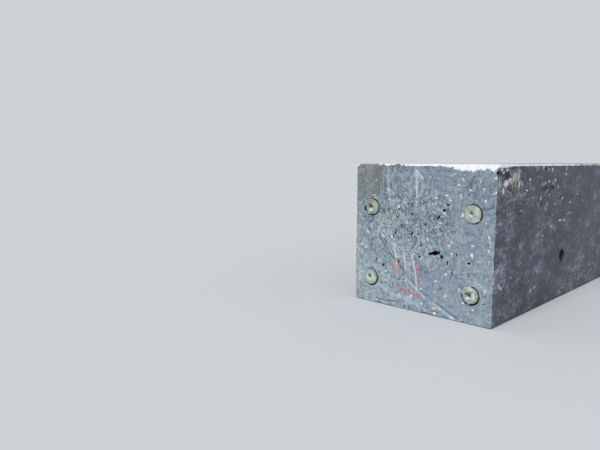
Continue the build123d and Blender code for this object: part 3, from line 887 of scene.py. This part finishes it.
# The bruised corner and the larger chips of the right-hand side near the marked end: distance from that end
# and height, half-length, half-height, slope in degrees, how ragged, and shade
SIDE_BRUISES = [
    ((25, 208), 19, 13, 0, 0.8, "#343740"), ((6, 198), 9, 15, 0, 1.1, "#958d90"),
    ((57, 201), 26, 21, 0, 0.6, "#625e5e"), ((56, 205), 28, 24, 0, 1.3, "#a39f9c"),
    ((53, 211), 7, 10, 0, 1.1, "#c2bfbc"), ((65, 209), 7, 10, 0, 1.1, "#c6c3c0"),
    ((47, 203), 7, 9, 0, 1.1, "#bebbb8"), ((16, 221), 5.5, 2.4, 0, 0.4, "#a3a8bb"),
    ((11, 217.5), 4, 2.4, 0, 0.4, "#d6dae4"), ((16, 213.5), 3.6, 2.2, 0, 0.4, "#c3c8d6"),
    ((27, 216.5), 4.6, 2.4, 20, 0.4, "#d0d4df"), ((24, 221), 5, 2.2, 0, 0.4, "#a9aebf"),
    ((26, 198), 8.5, 6, 0, 0.4, "#dee1e9"), ((37, 202.5), 8.5, 3.4, 22, 0.5, "#d9dce4"),
    ((17, 188.5), 4.2, 4.6, 0, 0.5, "#d3d6de"), ((10, 206), 3, 1.8, 0, 0.4, "#978583"),
    ((2, 206), 3.4, 3, 0, 0.3, "#5f80a8"), ((67, 197.5), 2.8, 5.2, 0, 0.4, "#cfd0d4"),
    ((76, 198), 8, 1.7, -32, 0.4, "#c8cad0"), ((40, 189), 17, 2.8, -24, 0.5, "#30333d"),
    ((41, 183), 11, 1.8, -45, 0.6, "#858b99"), ((82, 181), 17, 1.5, 13, 0.6, "#949ba9"),
    ((66, 182), 10, 1.4, -35, 0.6, "#8b91a0"), ((64, 188), 5, 2.2, 0, 0.7, "#a08f93"),
    ((104, 202.5), 4.6, 2, -20, 0.4, "#c0c4cc"), ((95, 186.7), 4, 2, 0, 0.3, "#cfd2d8"),
    ((131, 205), 3, 1.8, 0, 0.4, "#a9aebb"), ((157, 194.5), 17, 3.6, 11, 0.8, "#949db0"),
    ((177, 197.5), 4, 2.2, 0, 0.4, "#cbc8c4"), ((203, 199), 4.6, 2.4, 20, 0.4, "#dadee5"),
    ((194, 194), 6, 1.7, 0, 0.5, "#a6acbb"), ((239, 195), 4.6, 2.8, 0, 0.6, "#8f9ab4"),
    ((216, 188.5), 3.4, 3.2, 0, 0.4, "#b5af9f"), ((167, 181), 11, 1.8, 38, 0.5, "#8f96a6"),
    ((147, 173), 3, 5.4, 0, 0.5, "#b9bdc5"), ((179, 177), 6, 1.8, 26, 0.5, "#aeb3bd"),
    ((236, 169), 5, 2.4, 30, 0.4, "#b3b8c2"), ((308, 173), 4.5, 2.2, 0, 0.4, "#a9aebb"),
    ((275, 160.5), 4, 2.2, 0, 0.3, "#b3b7c0"), ((207, 161), 4, 2, 0, 0.3, "#a8adb7"),
    ((174, 162), 5, 2, 30, 0.4, "#adb2bb"), ((169, 155), 9, 5, 0, 1, "#a0a5ae"),
    ((178, 223), 5.5, 2.2, 0, 0.4, "#e2e5ec"), ((188, 215.5), 4.6, 3.6, -40, 0.5, "#cdd0d9"),
    ((249, 216.5), 3.6, 5, 0, 0.6, "#a9aebc"), ((248, 208), 3.8, 2.2, -20, 0.3, "#babfca"),
    ((151, 219), 4.4, 3, 0, 0.4, "#b5bac6"), ((272, 142), 15, 1.8, 5, 0.6, "#a1a7b5"),
    ((138, 164), 3.2, 3.8, 0, 0.5, "#b5b5aa"), ((194, 126), 3.4, 2.8, 0, 0.3, "#c8ccd3"),
    ((199, 144), 3.2, 1.8, 0, 0.3, "#a9adb7"), ((232, 133), 6, 2.2, 0, 0.4, "#c5c8d0"),
    ((251, 132), 6, 2.2, 0, 0.4, "#bfc3cd"), ((161, 113), 3.2, 2.4, 0, 0.3, "#b4b9c2"),
    ((35, 139), 5, 5, -30, 0.6, "#9a5f7e"), ((128, 92), 5, 4.6, 0, 0.8, "#8f5a74"),
    ((17, 58), 2, 6.5, 25, 0.4, "#c3c8d2"), ((23, 54), 5.5, 1.8, -40, 0.3, "#b3b8c3"),
    ((126, 32), 3.2, 5.5, 0, 0.5, "#b1b0ae"), ((143, 36), 8, 2.6, 20, 0.6, "#a5a9b2"),
    ((80, 158), 3.6, 2.2, 0, 0.4, "#a5b1ba"), ((6, 199), 4.4, 6, 0, 0.8, "#c0c4ca"),
]
fray = add(tree, "TexNoise", {"Vector": place, "Scale": 240.0, "Detail": 3.0, "Roughness": 0.65})
upright = add(tree, "Mapping", {"Vector": place, "Rotation": (0, math.radians(8), 0), "Scale": (1, 1, 4)},
              vector_type="TEXTURE")
shreds = add(tree, "TexNoise", {"Vector": upright, "Scale": 300.0, "Detail": 2.0, "Roughness": 0.6})
shreds = add(tree, "Math", {0: shreds, 1: fray}, operation="ADD")
shreds = add(tree, "MapRange", {"Value": shreds, "From Min": 0.80, "From Max": 1.20})

# The tear moves every place by half of its size on the mean, so each middle is moved by as much. The ragged
# edge takes about a tenth off a mark's size, which is added beforehand. Each goes 8 mm into the skin.
RAGGED_SIZE, BRUISE_REACH = 1.1, 8
for (from_end, z), half_length, half_height, slope, ragged, shade in SIDE_BRUISES:
    middle = Vector((from_end - HALF_LENGTH, -HALF_WIDTH, z)) * MM + SKIN_TEAR / 2
    half_sizes = Vector((RAGGED_SIZE * half_length, BRUISE_REACH, RAGGED_SIZE * half_height)) * MM
    laid = add(tree, "Mapping", {"Vector": torn, "Location": middle, "Scale": half_sizes,
                                 "Rotation": (0, -math.radians(slope), 0)}, vector_type="TEXTURE")
    away = add(tree, "VectorMath", {0: laid}, operation="LENGTH").outputs["Value"]
    away = add(tree, "Math", {0: shreds, 1: ragged, 2: away}, operation="MULTIPLY_ADD")
    bruise = add(tree, "MapRange", {"Value": away, "From Min": 1.0, "From Max": 0.8})
    colour = add(tree, "Mix", {0: bruise, 6: colour, 7: linear(shade)}, data_type="RGBA").outputs[2]

# White of broken and frayed edges; along the top long edges it is a painted highlight as well
colour = white_edges_and_highlight(tree, colour, fray, speckle, [(0.32, "#a5a7ac"), (0.48, "#eceef2"), (0.40, "#cfd1d4")])
relief = weighted_sum(tree, level, [(pit, -1.0), (fray, 0.5)])
rough = add(tree, "MapRange", {"Value": level, "To Min": 0.42, "To Max": 0.75})
finish_surface(tree, colour, rough, relief, 0.6, 0.0006, {"IOR": PLASTIC_IOR})

# Drilled plastic, dark and scored by the drill, torn plastic inside the pores, darker and lumpier, and the
# paler plastic of the hollows in the side. All three are darker than the plastic round them, partly their
# own colour and partly painted shade inside the recess.
for tree, dark_shade, light_shade, scale in ((drilled_tree, "#2a2f33", "#4d5459", 700.0),
                                             (pore_tree, "#191b20", "#3a3f48", 300.0),
                                             (gouged_tree, "#292c37", "#5d6272", 300.0)):
    place = add(tree, "TexCoord").outputs["Object"]
    grain = add(tree, "TexNoise", {"Vector": place, "Scale": scale, "Detail": 3.0})
    colour = add(tree, "ValToRGB", {"Fac": grain}, [(0.35, dark_shade), (0.7, light_shade)])
    finish_surface(tree, colour, 0.6, grain, 0.5, 0.0006, {"IOR": PLASTIC_IOR})

# End plugs
# Eight turned plugs of greenish-white nylon, driven 40 mm into the pockets over the ends of the bars. Each
# stands a little proud and off-centre in its pocket, with the small hole in its dish that centred it on
# the lathe.
PLUG_STEPS, DOME_RINGS, DISH_RINGS = 72, 14, 8
PLUG_NECK, PLUG_HIGHEST = 6.0, 2.45
# The nylon's colour, and the dark colours of dirt together with painted shade down the neck and in the hole
NYLON, DIRT_AND_SHADE, DEEP_DIRT_AND_SHADE = "#a2aaa6", "#4a4a40", "#33322a"

# Places on a face are counted from its middle, as (left, up) of someone who faces that end. The lean is how
# far the face lies off the middle of its pocket. The ring round the dish has a radius and a height. The lips
# lie over the pocket's edge, as (degrees from the right, spread in degrees, reach). The stains and painted
# light are (place, half-sizes, strength, shade). On each plug a dark spot over the hole and the upper half
# of the dish is painted shade, and a pale spot below it or a pale disc round it is a painted highlight; on
# the upper left plug of the marked end, darker spots over the top and the left of the face paint the shaded
# side of its dome. The rest are stains.
PLUG_FORMS = {
    "marked_end_plug_upper_left": dict(
        rim=12.2, lean=(0.2, -0.1), dish_place=(2, 0.2), dish_radius=6, dish_depth=3, hole_radius=1.3,
        dome=1.3, ring=(7.2, 0.35), ragged=0.5,
        lips=[(115, 26, 1.9), (156, 7, 1.5), (238, 14, 0.9)],
        stains_and_light=[((2, 10), (11, 5), 0.8, "#83877d"), ((9, 0), (4, 8), 0.6, "#8b8c83"),
                ((2.7, 1.6), (3.4, 3.6), 0.95, "#5f5b47"), ((1.2, -4.4), (3.6, 2.6), 0.85, "#cad5d5"),
                ((-3, 6), (4, 3), 0.5, "#b9bfb4"), ((-0.5, -9.6), (4, 2.4), 0.7, "#87906f"),
                ((6, -8.6), (3, 2.2), 0.6, "#c0c6b8"), ((-9, -2), (3, 8), 0.3, "#a9ada4")]),
    "marked_end_plug_upper_right": dict(
        rim=12.8, lean=(1, -0.2), dish_place=(1.1, 0.9), dish_radius=2.2, dish_depth=1, hole_radius=1.1,
        dome=0.6, ring=(5.4, 0.25), ragged=0.4,
        lips=[(46, 12, 0.7), (-40, 4, 1.5), (170, 40, 0.8)],
        stains_and_light=[((0.9, 1.1), (1.5, 1.5), 1, "#35341f"), ((2, -1.9), (2.8, 1.6), 0.9, "#cfdadd"),
                ((4.4, 4), (3.6, 1), 0.8, "#84795e"), ((1.4, 5.2), (1.4, 1.6), 0.7, "#6b644e"),
                ((-2.5, 5), (3, 0.8), 0.4, "#8c8c7c"), ((0.3, -7.4), (2.6, 2.4), 0.8, "#8d936c"),
                ((-7, 4), (4, 6), 0.5, "#cdd6cc"), ((-5, -8), (5, 3), 0.5, "#c2d0cb"),
                ((7, 8), (6, 4), 0.5, "#a6a79d"), ((7.8, -1), (2.5, 6), 0.6, "#c3c6b6"),
                ((-4.6, -1.6), (0.9, 1.6), 0.5, "#7f8373"), ((11.3, 0), (1.4, 9), 0.6, "#8d9288")]),
    "marked_end_plug_lower_left": dict(
        rim=12.4, lean=(1.4, 0.4), dish_place=(0.6, 1.4), dish_radius=4.6, dish_depth=1.4, hole_radius=3.4,
        dome=1.1, ring=(6, 0.45), ragged=0.35,
        lips=[(165, 48, 1.4), (65, 18, 1.2)],
        stains_and_light=[((-0.4, 0.8), (7.2, 6.6), 0.85, "#d2dfda"), ((0.4, 1.6), (3.9, 3.8), 0.95, "#85836a"),
                ((-1.4, -0.4), (2.6, 2.4), 0.6, "#a3ab97"), ((9, 9), (5, 6), 0.6, "#8d9f9b"),
                ((-9.6, -4), (2.2, 6), 0.5, "#cad6d0"), ((-4, -8.4), (2, 1.3), 0.6, "#8a9278"),
                ((-3, -10.6), (5, 1.6), 0.5, "#c3cbbd"), ((7, -8), (5, 2.4), 0.4, "#a9b6ac")]),
    "marked_end_plug_lower_right": dict(
        rim=12.4, lean=(0.5, 0.1), dish_place=(1.4, 0), dish_radius=5.4, dish_depth=2.6, hole_radius=1.5,
        dome=1.2, ring=(6.6, 0.35), ragged=1.4,
        lips=[(96, 9, 2.3), (124, 7, 2.8), (142, 5, 1.6), (163, 6, 2.4), (262, 5, 1.8)],
        stains_and_light=[((5, 2.6), (1.8, 2.2), 0.95, "#56543f"), ((0.6, 3.9), (3.2, 1.5), 0.9, "#786c57"),
                ((1.2, 0.2), (3.4, 1.8), 0.85, "#6c7d79"), ((2.3, -3.9), (3.2, 1.4), 0.9, "#c6d3dc"),
                ((-5.6, -0.6), (2.6, 5), 0.8, "#ccd9d0"), ((7.6, -3.4), (1.4, 3.6), 0.6, "#858c70"),
                ((1, 10.2), (6, 2.4), 0.7, "#c9cdb9"), ((8.4, 7.6), (4, 4), 0.6, "#a3ad9c"),
                ((-3, -9.4), (4, 1.5), 0.7, "#c9d1bd"), ((-2, -11.6), (4, 1.2), 0.8, "#655f52"),
                ((-9.6, -4), (2.4, 5), 0.4, "#b9bcb8")]),
    "plain_end_plug_upper_left": dict(
        rim=12.4, lean=(-0.6, 0.4), dish_place=(0.4, 0.3), dish_radius=5.2, dish_depth=2.6, hole_radius=1.4,
        dome=1.2, ring=(6.6, 0.3), ragged=0.5,
        lips=[(210, 9, 1.8)],
        stains_and_light=[((0.4, 2.2), (3.2, 2.4), 0.85, "#67634f"), ((0.2, -2.6), (3, 1.8), 0.6, "#d0d8cf"),
                ((-7, -6), (5, 4), 0.4, "#8f9584"), ((6, 8), (6, 3), 0.4, "#9a9f93")]),
    "plain_end_plug_upper_right": dict(
        rim=12.6, lean=(0.5, 0.9), dish_place=(-0.3, 0.5), dish_radius=2.4, dish_depth=1.2, hole_radius=1.1,
        dome=0.7, ring=(5.6, 0.2), ragged=0.4,
        lips=[(25, 7, 2)],
        stains_and_light=[((-0.3, 0.7), (1.5, 1.4), 1, "#3b3a26"), ((-0.5, -2.4), (3, 1.6), 0.6, "#d9e0da"),
                ((-4, 5), (5, 2), 0.5, "#8d8a74")]),
    "plain_end_plug_lower_left": dict(
        rim=12.3, lean=(0.2, -0.9), dish_place=(0.5, -0.2), dish_radius=5.4, dish_depth=2.8,
        hole_radius=1.5, dome=1.3, ring=(6.8, 0.4), ragged=0.8,
        lips=[(290, 8, 1.8), (75, 12, 2)],
        stains_and_light=[((0.6, 2.4), (3.4, 2.2), 0.9, "#5f5b47"), ((0.4, -3.4), (3.2, 1.5), 0.8, "#d6dedb"),
                ((5, -8), (4, 2), 0.5, "#848b6e")]),
    "plain_end_plug_lower_right": dict(
        rim=12.5, lean=(-1, 0.2), dish_place=(-0.6, 0.3), dish_radius=4, dish_depth=2.2, hole_radius=2.4,
        dome=1.1, ring=(5.6, 0.45), ragged=0.4,
        lips=[(20, 30, 1.2)],
        stains_and_light=[((-0.6, 0.2), (6.8, 6.6), 0.6, "#d5dccf"), ((-0.6, 0.6), (3.2, 3.1), 0.9, "#6f6d55"),
                ((7, -7), (4, 4), 0.4, "#96a191")]),
}


def plug_rings(rim, lean, dish_place, dish_radius, dish_depth, hole_radius, dome, ring, ragged, lips, seed):
    """Rings of a turned plug as (height over the beam's end, left, up), from its inner end out over its face
    and down into its dish and hole. Each is its radius times (cos, sin) of the angle. The dome rises as the
    square root of the way in from the rim, with a raised ring about the dish; the dish sinks as the way in
    to the power 0.75; the rim moves in by a ripple, and out at the lips as a bell curve of the angle. The
    lean moves the face and the dish's place moves the dish. Returns the rings and their plain radii."""
    way = np.linspace(0, 1, DOME_RINGS + 1)[1:]
    face = rim - 0.7 - (rim - 1.0 - dish_radius) * way
    rise = 1.0 + dome * np.sqrt(way) * (1 - 0.15 * way) + ring[1] * np.exp(-((face - ring[0]) / 0.9) ** 2)
    bowl = np.linspace(0, 1, DISH_RINGS + 1)[1:]
    dish = dish_radius - 0.3 - (dish_radius - 0.3 - hole_radius) * bowl
    sink = rise[-1] - 0.1 - dish_depth * bowl ** 0.75
    hole_depth = min(3.0, 4.2 / hole_radius)
    foot_radius = [12.8, 13.8, 13.8, 13.1, rim, rim, rim - 0.25, rim - 0.7]
    foot_height = [-40, -39, -PLUG_NECK - 1, -PLUG_NECK, -3, 0.3, 0.8, 1.0]
    radius = np.concatenate([foot_radius, face, dish, [hole_radius, hole_radius, hole_radius * 0.5]])
    height = np.concatenate([foot_height, rise, sink, sink[-1] - np.array([0.3, 0.9, 1.0]) * hole_depth])

    # The lean fades out down the neck; the dish's place moves the face the more, the nearer it is
    on_face = len(foot_radius)
    leaning = np.clip((height + PLUG_NECK) / 3, 0, 1)
    leaning[on_face:] = 1
    inward = np.zeros(len(radius))
    inward[on_face:] = np.clip((rim - radius[on_face:]) / (rim - dish_radius), 0, 1)

    # The nine rings of the rim's edge take the tear, which also lowers them, and the lips, each less inwards
    angle = steps_round(PLUG_STEPS)
    circle = np.stack([np.cos(angle), np.sin(angle), 0 * angle], -1)
    tear = np.abs(ripple(circle, 0.7, seed)) * 0.5 + np.abs(ripple(circle, 2.2, seed + 1)) * 0.45
    tear = np.clip(ragged * tear, 0, 1.4)
    lip = np.zeros(PLUG_STEPS)
    for degrees, breadth, reach in lips:
        away = (np.degrees(angle) - degrees + 180) % 360 - 180
        lip = np.maximum(lip, reach * np.exp(-0.5 * (away / breadth) ** 2))
    tear *= np.clip(1 - lip, 0, 1)
    torn_share, lip_share, lowered_share = np.zeros((3, len(radius), 1))
    torn_share[5:14, 0] = (0.8, 1.0, 1.0, 0.8, 0.6, 0.4, 0.25, 0.12, 0.05)
    lip_share[5:14, 0] = (0.35, 1.0, 1.0, 0.8, 0.6, 0.4, 0.25, 0.12, 0.05)
    lowered_share[7:] = 0.6 * torn_share[7:]
    spread = radius[:, None] - torn_share * tear + lip_share * lip
    rings = np.empty((len(radius), PLUG_STEPS, 3))
    rings[..., 0] = np.minimum(height[:, None] - lowered_share * tear, PLUG_HIGHEST)
    rings[..., 1] = (leaning * lean[0] + inward * dish_place[0])[:, None] - spread * np.cos(angle)
    rings[..., 2] = (leaning * lean[1] + inward * dish_place[1])[:, None] + spread * np.sin(angle)
    return rings, radius


# Turned nylon, greenish white, gone dull and stained outdoors: faint rings from the lathe and a slight
# glow, with the stains, the painted shade and the painted highlights kept on the mesh.
plug_nylon, tree = new_material("turned_nylon")
place = add(tree, "TexCoord").outputs["Object"]
kept = add(tree, "Attribute", attribute_name="lathe_radius").outputs["Fac"]
tinted = add(tree, "Attribute", attribute_name="tinted").outputs["Color"]
smear = add(tree, "TexNoise", {"Vector": place, "Scale": 260.0, "Detail": 4.0, "Roughness": 0.65})
lathe = add(tree, "Math", {0: add(tree, "Math", {0: kept, 1: 2.4}, operation="MULTIPLY")}, operation="SINE")
tone = add(tree, "Math", {0: lathe, 1: 0.06}, operation="MULTIPLY")
tone = add(tree, "Math", {0: smear, 1: 1.1, 2: tone}, operation="MULTIPLY_ADD")
tone = add(tree, "ValToRGB", {"Fac": tone}, [(0.38, "#5f625b"), (0.75, "#d4d8d3"), (0.58, "#b3b6b0")])
colour = add(tree, "Mix", {0: 0.6, 6: tinted, 7: tone}, data_type="RGBA", blend_type="SOFT_LIGHT")
relief = add(tree, "Math", {0: lathe, 1: 0.25, 2: smear}, operation="MULTIPLY_ADD")
rough = add(tree, "MapRange", {"Value": smear, "From Min": 0.3, "From Max": 0.7,
                               "To Min": 0.62, "To Max": 0.32})
glow = {"Subsurface Weight": 0.12, "Subsurface Radius": (0.002, 0.002, 0.0015), "Subsurface Scale": 1.0}
finish_surface(tree, colour.outputs[2], rough, relief, 0.35, 0.0003, {"IOR": 1.53, **glow})

for seed, (node, form) in enumerate(PLUG_FORMS.items()):
    stains_and_light = form.pop("stains_and_light")
    outward = -1 if node.startswith("marked") else 1
    centre = BAR_PLACES[node.split("_plug_")[1]]
    local, radius = plug_rings(**form, seed=60 + 2 * seed)
    rings = np.stack([outward * (HALF_LENGTH + local[..., 0]), centre[0] - outward * local[..., 1],
                      centre[1] + local[..., 2]], -1)
    plug = make_piece("turned_" + node, *closed_tube(rings), [plug_nylon])

    # Stains, painted shade and painted highlights lie over each other in turn. The neck down in the pocket
    # and the bottom of the dish and the hole are then darkened, with dirt and painted shade.
    shade = np.broadcast_to(linear(NYLON), (*local.shape[:2], 4)).copy()
    left, above = local[..., 1] - form["lean"][0], local[..., 2] - form["lean"][1]
    for spot, size, strength, code in stains_and_light:
        cover = strength * soft_spot(left, above, spot, np.array(size) * 0.75, 0.8)[..., None]
        shade = shade * (1 - cover) + np.array(linear(code)) * cover
    ring = np.arange(len(radius))[:, None]
    # Painted shade with dirt: darker down the neck in the pocket and at the bottom of the dish and the hole
    foot = np.clip((0.3 - local[..., 0]) / 3.0, 0, 0.9) * (ring < 9)
    deep = np.clip((-0.6 - local[..., 0]) / 1.2, 0, 1) * (ring > 20)
    dirt_and_shade = np.maximum(foot, deep)[..., None]
    shade = shade * (1 - dirt_and_shade) + np.array(linear(DIRT_AND_SHADE)) * dirt_and_shade
    shade = np.concatenate([shade.reshape(-1, 4), [linear(DIRT_AND_SHADE), linear(DEEP_DIRT_AND_SHADE)]])
    keep_on_mesh(plug.data, "tinted", shade)
    keep_on_mesh(plug.data, "lathe_radius", np.append(np.repeat(radius, PLUG_STEPS), (0, 0)))
    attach(plug, "root")
    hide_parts(node)

# Studio
# The camera stands low and near the marked end, as in the photograph. The floor and the backdrop are one
# pale grey; a broad lamp on the left above and an even sky light the sleeper.
PHOTO_WIDTH, FOCAL_PIXELS, SENSOR_WIDTH = 600, 518.5, 36
CAMERA_PLACE, CAMERA_YAW, CAMERA_PITCH = (-1.8656, -0.4284, 0.2259), 45.73, 6.80
FLOOR, FLOOR_REACH, BACKDROP = "#c9cdd1", 30, "#cdd1d5"
LAMP_STRENGTH, LAMP_SPREAD, WAY_TO_LAMP, SKY_STRENGTH = 2.0, 25, (-0.66, -0.10, 0.74), 0.58

camera_data = bpy.data.cameras.new("camera")
camera_data.sensor_width = SENSOR_WIDTH
camera_data.lens = FOCAL_PIXELS / PHOTO_WIDTH * SENSOR_WIDTH
camera = bpy.data.objects.new("camera", camera_data)
camera.location = CAMERA_PLACE
yaw, pitch = math.radians(CAMERA_YAW), math.radians(CAMERA_PITCH)
aim = Vector((math.cos(yaw) * math.cos(pitch), math.sin(yaw) * math.cos(pitch), -math.sin(pitch)))
camera.rotation_euler = aim.to_track_quat("-Z", "Y").to_euler()
bpy.context.scene.collection.objects.link(camera)
bpy.context.scene.camera = camera

floor_paint, tree = new_material("matt_floor_paint")
add(tree, "OutputMaterial", {"Surface": add(tree, "BsdfDiffuse", {"Color": linear(FLOOR)})})
floor_mesh = bpy.data.meshes.new("floor")
floor_corners = [(x * FLOOR_REACH, y * FLOOR_REACH, 0) for x, y in ((-1, -1), (1, -1), (1, 1), (-1, 1))]
floor_mesh.from_pydata(floor_corners, [], [(0, 1, 2, 3)])
floor_mesh.materials.append(floor_paint)
floor = bpy.data.objects.new("floor", floor_mesh)
bpy.context.scene.collection.objects.link(floor)

lamp = bpy.data.lights.new("broad_lamp", "SUN")
lamp.energy = LAMP_STRENGTH
lamp.angle = math.radians(LAMP_SPREAD)
lamp_object = bpy.data.objects.new("broad_lamp", lamp)
lamp_object.rotation_euler = Vector(WAY_TO_LAMP).to_track_quat("Z", "Y").to_euler()
bpy.context.scene.collection.objects.link(lamp_object)

# The sky lights evenly; the camera, gloss and clear things see the pale backdrop in its place
world = bpy.data.worlds.new("sky")
bpy.context.scene.world = world
world.use_nodes = True
tree = world.node_tree
tree.nodes.clear()
rays = add(tree, "LightPath").outputs
seen = add(tree, "Math", {0: rays["Is Camera Ray"], 1: rays["Is Glossy Ray"]}, operation="MAXIMUM")
seen = add(tree, "Math", {0: seen, 1: rays["Is Transmission Ray"]}, operation="MAXIMUM")
sky = add(tree, "Background", {"Color": (1, 1, 1, 1), "Strength": SKY_STRENGTH})
backdrop = add(tree, "Background", {"Color": linear(BACKDROP), "Strength": 1.0})
add(tree, "OutputWorld", {"Surface": add(tree, "MixShader", {0: seen, 1: sky, 2: backdrop})})
bpy.context.scene.view_settings.view_transform = "Standard"
